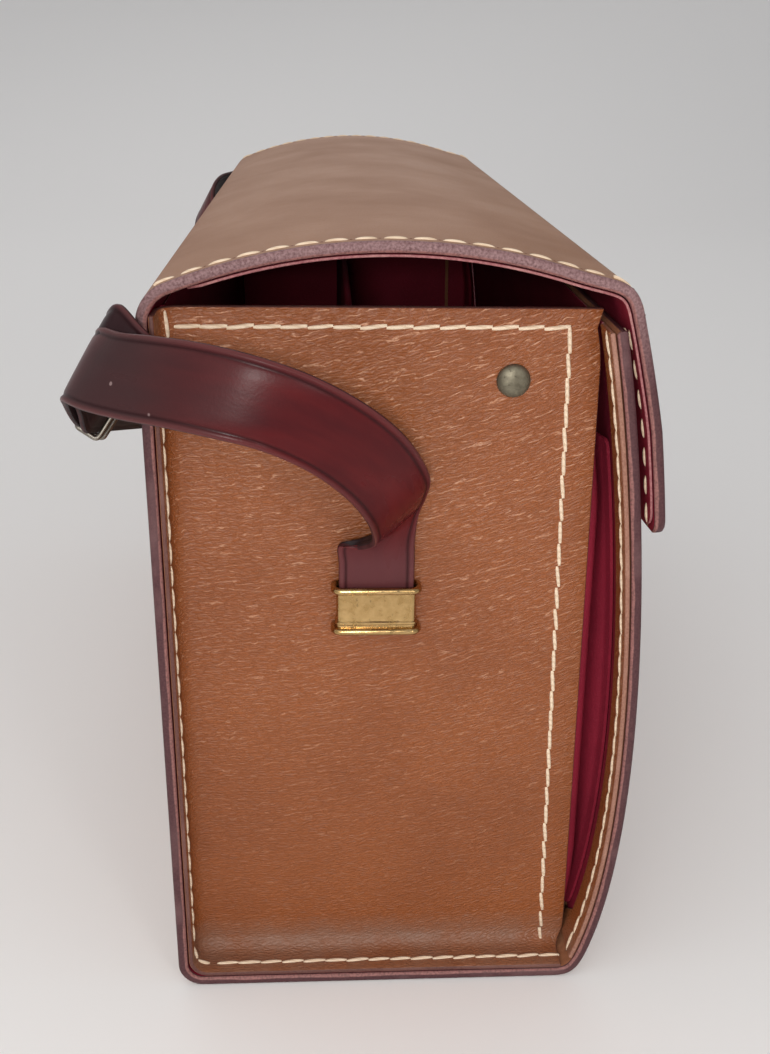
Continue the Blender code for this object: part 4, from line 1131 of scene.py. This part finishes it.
# Out from the panel, out from the back wall and up from the keeper, in millimetres, and then the
# direction from the strap's lower to its upper edge.
STRAP_ROUTE = (
    (3.1, -53.3, -5.0, (0, -1, 0)),
    (3.1, -53.3, 6.0, (0, -1, 0)),
    (3.4, -53.3, 12.0, (0, -1, 0)),
    (4.2, -53.3, 18.5, (-0.03, -0.99, 0.13)),
    (6.5, -55.4, 22.3, (-0.16, -0.80, 0.58)),
    (11.1, -57.6, 26.6, (-0.12, -0.66, 0.74)),
    (17.6, -57.7, 33.1, (0.04, -0.70, 0.71)),
    (23.5, -55.1, 39.9, (0.05, -0.69, 0.72)),
    (29.5, -50.3, 47.4, (0.05, -0.69, 0.73)),
    (35.0, -42.3, 55.2, (0.10, -0.66, 0.74)),
    (37.5, -32.4, 60.9, (0.16, -0.57, 0.80)),
    (37.5, -22.1, 64.1, (0.17, -0.45, 0.88)),
    (35.2, -12.7, 65.6, (0.19, -0.39, 0.90)),
    (29.5, -2.5, 65.6, (0.17, -0.40, 0.90)),
    (21.9, 5.7, 64.9, (0.15, -0.49, 0.86)),
    (14.4, 10.4, 64.2, (0.22, -0.50, 0.84)),
    (4.0, 13.2, 60.6, (0.22, -0.48, 0.85)),
    (-11.0, 13.0, 50.4, (0.24, -0.55, 0.80)),
)

# The free end of the long length, past the wire slide, where it springs up inside the bend.
FREE_END = (
    (-2.0, 11.0, 56.0, (0.23, -0.52, 0.82)),
    (4.0, 10.9, 62.5, (0.22, -0.50, 0.84)),
    (9.5, 9.4, 67.0, (0.21, -0.50, 0.84)),
    (14.5, 6.4, 69.0, (0.19, -0.48, 0.86)),
    (18.0, 2.0, 65.5, (0.17, -0.46, 0.87)),
    (19.0, -1.5, 62.0, (0.16, -0.46, 0.87)),
)


def stations_of(route):
    """Stations in the bag's own frame, with the direction to the strap's upper edge."""
    stations = []
    for out, back, up, across in route:
        station = Vector((-PANEL_X - out / 1000, BACK_Y + back / 1000, KEEPER_Z + up / 1000))
        stations.append((station, Vector(across)))
    return stations


left_route = stations_of(STRAP_ROUTE)
RUN_START, run_across = left_route[-1]
RUN_ALONG = Vector((0.956, -0.030, -0.290)).normalized()
RUN_ACROSS = (run_across - RUN_ALONG * run_across.dot(RUN_ALONG)).normalized()
RUN_OUTWARD = RUN_ACROSS.cross(RUN_ALONG)


def on_run(distance, layer):
    """A station down the slope behind the back; layer 1 lies inside layer 0."""
    return RUN_START + RUN_ALONG * distance - RUN_OUTWARD * LAYER_STEP * layer, RUN_ACROSS


def mirrored(stations):
    return [(Vector((-p.x, p.y, p.z)), Vector((-a.x, a.y, a.z))) for p, a in stations]


def smooth_station(span, t):
    """A station between the middle two of four, on a curve that suits uneven spacing."""
    before, here, after = (max((b[0] - a[0]).length, CLEARANCE) for a, b in zip(span, span[1:]))
    blended = []
    for first, start, end, last in zip(*span):
        rise = end - start
        leave = ((start - first) * here ** 2 / before + rise * before) / (before + here)
        arrive = (rise * after + (last - end) * here ** 2 / after) / (here + after)
        blended.append(
            start * (2 * t ** 3 - 3 * t ** 2 + 1)
            + leave * (t ** 3 - 2 * t ** 2 + t)
            + end * (3 * t ** 2 - 2 * t ** 3)
            + arrive * (t ** 3 - t ** 2)
        )
    return blended[0], blended[1]


# Half of the strap's section in millimetres: across from the middle, and height of the outer face.
CREASED_HALF = (
    (0.0, 0.95),
    (4.0, 0.94),
    (6.5, 0.89),
    (7.1, 0.78),
    (7.5, 0.68),
    (7.85, 0.80),
    (8.3, 0.95),
    (8.8, 0.84),
    (9.1, 0.52),
)


def strap(name, stations, stands_for):
    """The creased section carried along smooth stations, its upper edge turned as they say."""
    steps = 12
    last = len(stations) - 1
    rows = []
    for index in range(last):
        span = [stations[min(max(index + k, 0), last)] for k in (-1, 0, 1, 2)]
        rows += [smooth_station(span, step / steps) for step in range(steps)]
    rows.append(stations[-1])
    half = STRAP_WIDTH / 2
    face = [(-a / 1000, n / 1000) for a, n in CREASED_HALF[:0:-1]]
    face += [(a / 1000, n / 1000) for a, n in CREASED_HALF]
    section = [(a, n, half - abs(a), 0) for a, n in face]
    section += [(half, 0.0, 0.0, 1)]
    section += [(a, -min(n, STRAP_UNDER), half - abs(a), 2) for a, n in face[::-1]]
    section += [(-half, 0.0, 0.0, 1)]
    kinds = [entry[3] for entry in section]
    kinds[len(face) - 1] = 1
    kinds[2 * len(face)] = 1
    loops, lays = [], []
    run = 0.0
    for index, (centre, across) in enumerate(rows):
        before, after = rows[max(index - 1, 0)][0], rows[min(index + 1, len(rows) - 1)][0]
        along = (after - before).normalized()
        outward = across.cross(along).normalized()
        if index:
            run += (centre - before).length
        loops.append([centre + across * a + outward * n for a, n, margin, kind in section])
        lays.append([(a, run, margin) for a, n, margin, kind in section])
    piece = skin(name, loops, kinds, [BRIDLE, STRAP_EDGE, STRAP_BACK], lays)
    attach(piece, "shell")
    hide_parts(stands_for)


half_run = SHORT_RUN / 2
short_route = left_route + [on_run(distance, 0) for distance in (RUN_LEAD, half_run, SHORT_RUN)]
strap("short_strap", short_route, "strap_short")
sag_end = on_run(SHORT_RUN, 1)[0]
sag_middle = Vector((0.0, sag_end.y - 0.0004, sag_end.z - STRAP_SAG))
sag_quarter = Vector((sag_end.x / 2, sag_end.y, sag_end.z - 0.75 * STRAP_SAG))
left_sag = [on_run(SHORT_RUN, 1), (sag_quarter, (RUN_ACROSS + Vector((-0.12, 0.0, 0.0))).normalized())]
middle_across = Vector((0.0, RUN_ACROSS.y, RUN_ACROSS.z)).normalized()
long_route = mirrored(left_route) + mirrored([on_run(half_run, 0.5)]) + mirrored(left_sag)
long_route += [(sag_middle, middle_across)] + left_sag[::-1]
long_route += [on_run(distance, 1) for distance in (SHORT_RUN - RUN_LEAD, half_run, LONG_END, PAST_SLIDE)]
long_route += stations_of(FREE_END)
strap("long_strap", [(p, -a) for p, a in long_route], "strap_long")

# Strap slide: steel wire bent into two loops round both strap lengths and joined at their ends,
# so it runs down the slope with the straps inside it.
SLIDE_PLACE = 0.009
WIRE = 0.0007
LOOP_SPACING = 0.006
STEEL = old_metal("wire_steel", (0.34, 0.31, 0.27), (0.20, 0.18, 0.15), 0.34, 0.0014)
slide_centre = on_run(SLIDE_PLACE, 0.5)[0]
half_across = STRAP_WIDTH / 2 + CLEARANCE + WIRE
half_deep = (STRAP_THICKNESS + LAYER_STEP) / 2 + CLEARANCE + WIRE


def wire(curve, points, cyclic):
    spline = curve.splines.new("POLY")
    spline.points.add(len(points) - 1)
    for point, place in zip(spline.points, points):
        point.co = (*place, 1.0)
    spline.use_cyclic_u = cyclic


slide_curve = bpy.data.curves.new("slide_wire", "CURVE")
slide_curve.dimensions = "3D"
slide_curve.bevel_depth = WIRE
slide_curve.bevel_resolution = 4
slide_curve.use_fill_caps = True
for place in (-LOOP_SPACING / 2, LOOP_SPACING / 2):
    ring = oblong(half_across, -half_deep, half_deep, 1.5 * WIRE)
    points = [slide_centre + RUN_ACROSS * p.y + RUN_OUTWARD * p.x + RUN_ALONG * place for p, way in ring]
    wire(slide_curve, points, True)
for edge in (-1, 1):
    rung_middle = slide_centre + RUN_ACROSS * edge * half_across
    wire(slide_curve, [rung_middle + RUN_ALONG * LOOP_SPACING / 2 * k for k in (-1, 1)], False)
slide_mesh = settled(placed("slide_shape", slide_curve))
slide_mesh.shade_smooth()
slide_mesh.materials.clear()
slide_mesh.materials.append(STEEL)
slide = placed("wire_slide", slide_mesh)
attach(slide, "slide")
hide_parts("strap_slide")

# Press stud that closes the flap: a domed brass cap with a socket behind it, riveted in the flap,
# and a stud with its flange in the front wall.
SNAP_Z = 0.150
CAP_RADIUS = 0.0070
CAP_HEIGHT = 0.0022
CAP_LIP = 0.0004
SOCKET_RADIUS = 0.0055
BARREL_RADIUS = 0.0062
snap_low, snap_high = (y_at(wall_line, SNAP_Z + CAP_RADIUS * k) for k in (-1, 1))
snap_rise = Vector((0.0, snap_high - snap_low, 2 * CAP_RADIUS)).normalized()
snap_out = Vector((0.0, -snap_rise.z, snap_rise.y))
snap_place = Vector((0.0, y_at(wall_line, SNAP_Z), SNAP_Z))
snap_face = FLAP_GAP + LEATHER
socket_top = snap_face - 0.0005
socket_mouth = FLAP_GAP - 0.0009
cap_profile = [(0.0, socket_top), (SOCKET_RADIUS, socket_top), (SOCKET_RADIUS, socket_mouth)]
cap_profile += [(BARREL_RADIUS, socket_mouth), (BARREL_RADIUS, snap_face + CLEARANCE)]
cap_profile += [(CAP_RADIUS - 0.0002, snap_face)]
for step in range(10):
    angle = math.pi / 2 * step / 9
    dome = snap_face + CAP_LIP + (CAP_HEIGHT - CAP_LIP) * math.sin(angle)
    cap_profile.append((CAP_RADIUS * math.cos(angle), dome))
snap_cap = turned("snap_cap_dome", cap_profile, snap_place, snap_out, BRASS)
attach(snap_cap, "lid")
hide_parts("snap_cap")
for node in ("snap_stud", "snap_washer"):
    refinish(node, BRASS)

# Saddle stitching: thick waxed linen thread in slanting stitches, drawn down hard into pricked
# holes. It closes the seams near the ends, and shows on both faces of the front, the back and the flap.
THREAD_CREAM = (0.82, 0.65, 0.48)
THREAD_SHADE = (0.58, 0.40, 0.25)
STITCH_PITCH = 0.0059
STITCH_LENGTH = 0.0056
LID_PITCH = 0.0062
LID_STITCH = 0.0044
THREAD_RADIUS = 0.00055


def linen(name):
    """Twisted waxed thread, soiled in places."""
    material, tree, shader, place, lay = new_finish(name, 0.7)
    turned_place = add(tree, "ShaderNodeMapping", {"Vector": place, "Rotation": (0.6, 0.6, 0.6)}).outputs[0]
    strands = {"Vector": turned_place, "Scale": 260.0, "Distortion": 2.0}
    twist = add(tree, "ShaderNodeTexWave", strands).outputs["Fac"]
    grime = cloud(tree, place, 0.006)
    yarn = tint(tree, spread(tree, twist, 0.0, 0.5, 0.5, 1.0), THREAD_SHADE, THREAD_CREAM)
    soiled = tint(tree, spread(tree, grime, 0.55, 0.8, 0.0, 0.5), yarn, THREAD_SHADE)
    tree.links.new(soiled, shader.inputs["Base Color"])
    raise_grain(tree, shader, twist, 0.00005)
    return material


def pricked_hole(name):
    """The shaded leather inside an awl hole."""
    material, tree, shader, place, lay = new_finish(name, 0.9)
    fuzz = cloud(tree, place, 0.0004)
    tree.links.new(tint(tree, fuzz, (0.10, 0.042, 0.022), (0.20, 0.09, 0.045)), shader.inputs["Base Color"])
    return material


LINEN = linen("linen_thread")
HOLE = pricked_hole("pricked_hole")


def stitch_tree():
    """Sets a slanting, arched stitch and its hole at every pitch along the rows."""
    tree = bpy.data.node_groups.new("saddle_stitch", "GeometryNodeTree")
    tree.interface.new_socket("Rows", in_out="INPUT", socket_type="NodeSocketGeometry")
    for label, value in (
        ("Pitch", STITCH_PITCH),
        ("Stitch Length", STITCH_LENGTH),
        ("Thread Radius", THREAD_RADIUS),
        ("Slant", 0.10),
    ):
        socket = tree.interface.new_socket(label, in_out="INPUT", socket_type="NodeSocketFloat")
        socket.default_value = value
    tree.interface.new_socket("Stitches", in_out="OUTPUT", socket_type="NodeSocketGeometry")
    given = add(tree, "NodeGroupInput").outputs
    length, radius = given["Stitch Length"], given["Thread Radius"]

    def along_and_up(along, up):
        return add(tree, "ShaderNodeCombineXYZ", {0: along, 2: up}).outputs[0]

    def chance(low, high, seed):
        limits = {2: low, 3: high, "Seed": seed}
        return add(tree, "FunctionNodeRandomValue", limits, data_type="FLOAT").outputs[1]

    sunk = product(tree, radius, -0.7)
    raised = product(tree, radius, 0.12)
    arch_points = {
        "Resolution": 7,
        "Start": along_and_up(product(tree, length, -0.5), sunk),
        "Start Handle": along_and_up(product(tree, length, -0.36), raised),
        "End Handle": along_and_up(product(tree, length, 0.36), raised),
        "End": along_and_up(product(tree, length, 0.5), sunk),
    }
    arch = add(tree, "GeometryNodeCurvePrimitiveBezierSegment", arch_points, mode="POSITION").outputs[0]
    thread_ring = {"Resolution": 6, "Radius": radius}
    round_thread = add(tree, "GeometryNodeCurvePrimitiveCircle", thread_ring).outputs[0]
    swept = {"Curve": arch, "Profile Curve": round_thread, "Fill Caps": True}
    stitch = add(tree, "GeometryNodeCurveToMesh", swept).outputs[0]
    soft_stitch = add(tree, "GeometryNodeSetShadeSmooth", {"Geometry": stitch}).outputs[0]
    threaded = add(tree, "GeometryNodeSetMaterial", {"Geometry": soft_stitch, "Material": LINEN}).outputs[0]
    dimple = add(tree, "GeometryNodeMeshUVSphere", {"Segments": 8, "Rings": 4, "Radius": radius}).outputs[0]
    hole_place = along_and_up(product(tree, given["Pitch"], 0.5), product(tree, radius, -0.25))
    pressed = {"Geometry": dimple, "Translation": hole_place, "Scale": (0.8, 0.8, 0.35)}
    pricked = add(tree, "GeometryNodeTransform", pressed).outputs[0]
    holed = add(tree, "GeometryNodeSetMaterial", {"Geometry": pricked, "Material": HOLE}).outputs[0]
    both = add(tree, "GeometryNodeJoinGeometry")
    tree.links.new(threaded, both.inputs[0])
    tree.links.new(holed, both.inputs[0])
    rows = add(tree, "GeometryNodeMeshToCurve", {"Mesh": given["Rows"]}).outputs[0]
    pitches = {"Curve": rows, "Length": given["Pitch"]}
    pitched = add(tree, "GeometryNodeResampleCurve", pitches, mode="LENGTH").outputs[0]
    along = add(tree, "GeometryNodeInputTangent").outputs[0]
    stored = add(tree, "GeometryNodeInputNamedAttribute", {"Name": "outward"}, data_type="FLOAT_VECTOR")
    laid = add(tree, "FunctionNodeAlignRotationToVector", {"Vector": along}, axis="X").outputs[0]
    facing = {"Rotation": laid, "Vector": stored.outputs[0]}
    faced = add(tree, "FunctionNodeAlignRotationToVector", facing, axis="Z", pivot_axis="X").outputs[0]
    wobble = chance(-0.05, 0.05, 7)
    lean = along_and_up(0.0, worked(tree, "ADD", given["Slant"], wobble))
    leant = add(tree, "FunctionNodeEulerToRotation", {0: lean}).outputs[0]
    slanted = add(tree, "FunctionNodeRotateRotation", {0: faced, 1: leant}, rotation_space="LOCAL").outputs[0]
    size = chance(0.94, 1.05, 11)
    spaced = {"Points": pitched, "Instance": both.outputs[0], "Rotation": slanted, "Scale": size}
    sewn = add(tree, "GeometryNodeInstanceOnPoints", spaced).outputs[0]
    real = add(tree, "GeometryNodeRealizeInstances", {"Geometry": sewn}).outputs[0]
    result = add(tree, "NodeGroupOutput")
    tree.links.new(real, result.inputs[0])
    return tree


STITCHING = stitch_tree()


def sew(name, body, rows, slant, pitch=STITCH_PITCH, length=STITCH_LENGTH):
    """One mesh of stitches for a body, from rows of (place, way out of the leather)."""
    guide = bpy.data.meshes.new(name)
    points = [place for row in rows for place, way in row]
    edges, start = [], 0
    for row in rows:
        edges += [(k, k + 1) for k in range(start, start + len(row) - 1)]
        start += len(row)
    guide.from_pydata(points, edges, [])
    ways = guide.attributes.new("outward", "FLOAT_VECTOR", "POINT")
    ways.data.foreach_set("vector", [value for row in rows for place, way in row for value in way])
    holder = placed("stitch_guide", guide)
    needle = holder.modifiers.new("stitches", "NODES")
    needle.node_group = STITCHING
    inputs = [item for item in STITCHING.interface.items_tree if item.in_out == "INPUT"]
    sockets = {item.name: item.identifier for item in inputs}
    needle[sockets["Pitch"]] = pitch
    needle[sockets["Stitch Length"]] = length
    needle[sockets["Thread Radius"]] = THREAD_RADIUS
    needle[sockets["Slant"]] = slant
    piece = placed(name, settled(holder))
    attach(piece, body)


def row_between(start, end, way, steps=40):
    """A straight row whose first and last stitch end at the two points."""
    start, end = Vector(start), Vector(end)
    half_stitch = (end - start).normalized() * STITCH_PITCH / 2
    start, end = start + half_stitch, end - half_stitch
    return [(start.lerp(end, k / steps), Vector(way)) for k in range(steps + 1)]


def row_on_line(line, x, inward=False):
    """A row along a line in (y, z), on its outer face or on the face inside it."""
    row = []
    for index, point in enumerate(line):
        out = outward_at(line, index) * (-1 if inward else 1)
        row.append((Vector((x, point[0], point[1])), Vector((0.0, out.x, out.y))))
    return row


SEAM_IN = 0.0042
LID_SEAM_IN = 0.0040
TOP_ROW_Z = 0.1821
TUCK_Z = 0.1827
FREE_ROW_LOW = 0.012
FLANGE_ROW_TOP = 0.1805
BACK_ROW_TOP = 0.179
BACK_ROW_LOW = 0.006
LID_ROW_START = 0.006
FLAP_ROW_TOP = 0.184
ROW_FROM_EDGE = 0.0065
TOE_CLEAR = 0.0035
FRONT_ROW_LOW = 0.007
FRONT_ROW_HIGH = 0.181
shell_rows = []
for side, sign in ENDS:
    face_x = sign * PANEL_X
    seam_x = sign * (END_X - SEAM_IN)
    out = (sign, 0.0, 0.0)
    top_z = TOP_ROW_Z
    corner_y = free_edge(top_z) + ROW_FROM_EDGE
    flange_y = BACK_Y - INSIDE - FLANGE
    flange_z = INSIDE + FLANGE
    fold_y = flange_y - FOLD
    fold_z = flange_z + FOLD
    tuck = FOLD * math.radians(40)
    aside, drop, raised, turn = pan_place(tuck, 0.0)
    tuck_place = Vector((sign * (PANEL_X + raised), fold_y + aside, TUCK_Z))
    tuck_way = (sign * math.cos(turn), -math.sin(turn), 0.0)
    reach = Vector((0.0, 0.0, 0.0001 + STITCH_PITCH / 2))
    shell_rows.append(row_between(tuck_place + reach, tuck_place - reach, tuck_way))
    shell_rows.append(row_between((face_x, fold_y + 0.0012, top_z), (face_x, corner_y, top_z), out))
    low_y = free_edge(FREE_ROW_LOW) + ROW_FROM_EDGE
    free_row = row_between((face_x, corner_y, top_z), (face_x, low_y, fold_z), out)
    for step in range(6):
        aside, drop, raised, turn = pan_place(0.0, FOLD * math.radians(8 * step))
        row_way = Vector((sign * math.cos(turn), 0.0, math.sin(turn)))
        free_row.append((Vector((sign * (PANEL_X + raised), low_y, fold_z - drop)), row_way))
    shell_rows.append(free_row)
    flange_row = row_between((seam_x, flange_y, FLANGE_ROW_TOP), (seam_x, flange_y, fold_z), (0.0, -1.0, 0.0))
    for step in range(9):
        angle = math.pi / 2 * step / 8
        corner_way = Vector((0.0, -math.cos(angle), math.sin(angle)))
        flange_row.append((Vector((seam_x, fold_y, fold_z)) - corner_way * FOLD, corner_way))
    toe_end = (seam_x, TOE_Y + TOE_CLEAR, flange_z)
    flange_row += row_between((seam_x, fold_y, flange_z), toe_end, (0.0, 0.0, 1.0))
    shell_rows.append(flange_row)
    back_row = row_between((seam_x, BACK_Y, BACK_ROW_TOP), (seam_x, BACK_Y, BACK_ROW_LOW), (0.0, 1.0, 0.0))
    shell_rows.append(back_row)
sew("shell_stitches", "shell", shell_rows, 0.08)
front_rows = []
strip_face = moved_line(wall_line, INSIDE + FLANGE)
strip_row = [p for p in strip_face if FRONT_ROW_LOW < p[1] < FRONT_ROW_HIGH]
wall_row = [p for p in wall_line if FRONT_ROW_LOW < p[1] < FRONT_ROW_HIGH]
for side, sign in ENDS:
    seam_x = sign * (END_X - SEAM_IN)
    front_rows.append(row_on_line(strip_row, seam_x, True))
    front_rows.append(row_on_line(wall_row, seam_x))
sew("front_stitches", "front", front_rows, 0.10)
sewn_lid = [point for point in dome_line() if point[0] < BACK_Y - LID_ROW_START]
lid_inner = moved_line(sewn_lid, INSIDE + LINING)
hem_stop = FLAP_BOTTOM + FLAP_CORNER
lid_rows = []
for sign in (-1, 1):
    seam_x = sign * (END_X - LID_SEAM_IN)
    lid_rows.append(row_on_line([p for p in sewn_lid if p[1] > hem_stop], seam_x))
    inner_row = [p for p in lid_inner if hem_stop < p[1] < FLAP_ROW_TOP and p[0] < 0.0]
    lid_rows.append(row_on_line(inner_row, seam_x, True))
lid_rows = [[(flared(place), way) for place, way in row] for row in lid_rows]
sew("lid_stitches", "lid", lid_rows, 0.0, LID_PITCH, LID_STITCH)
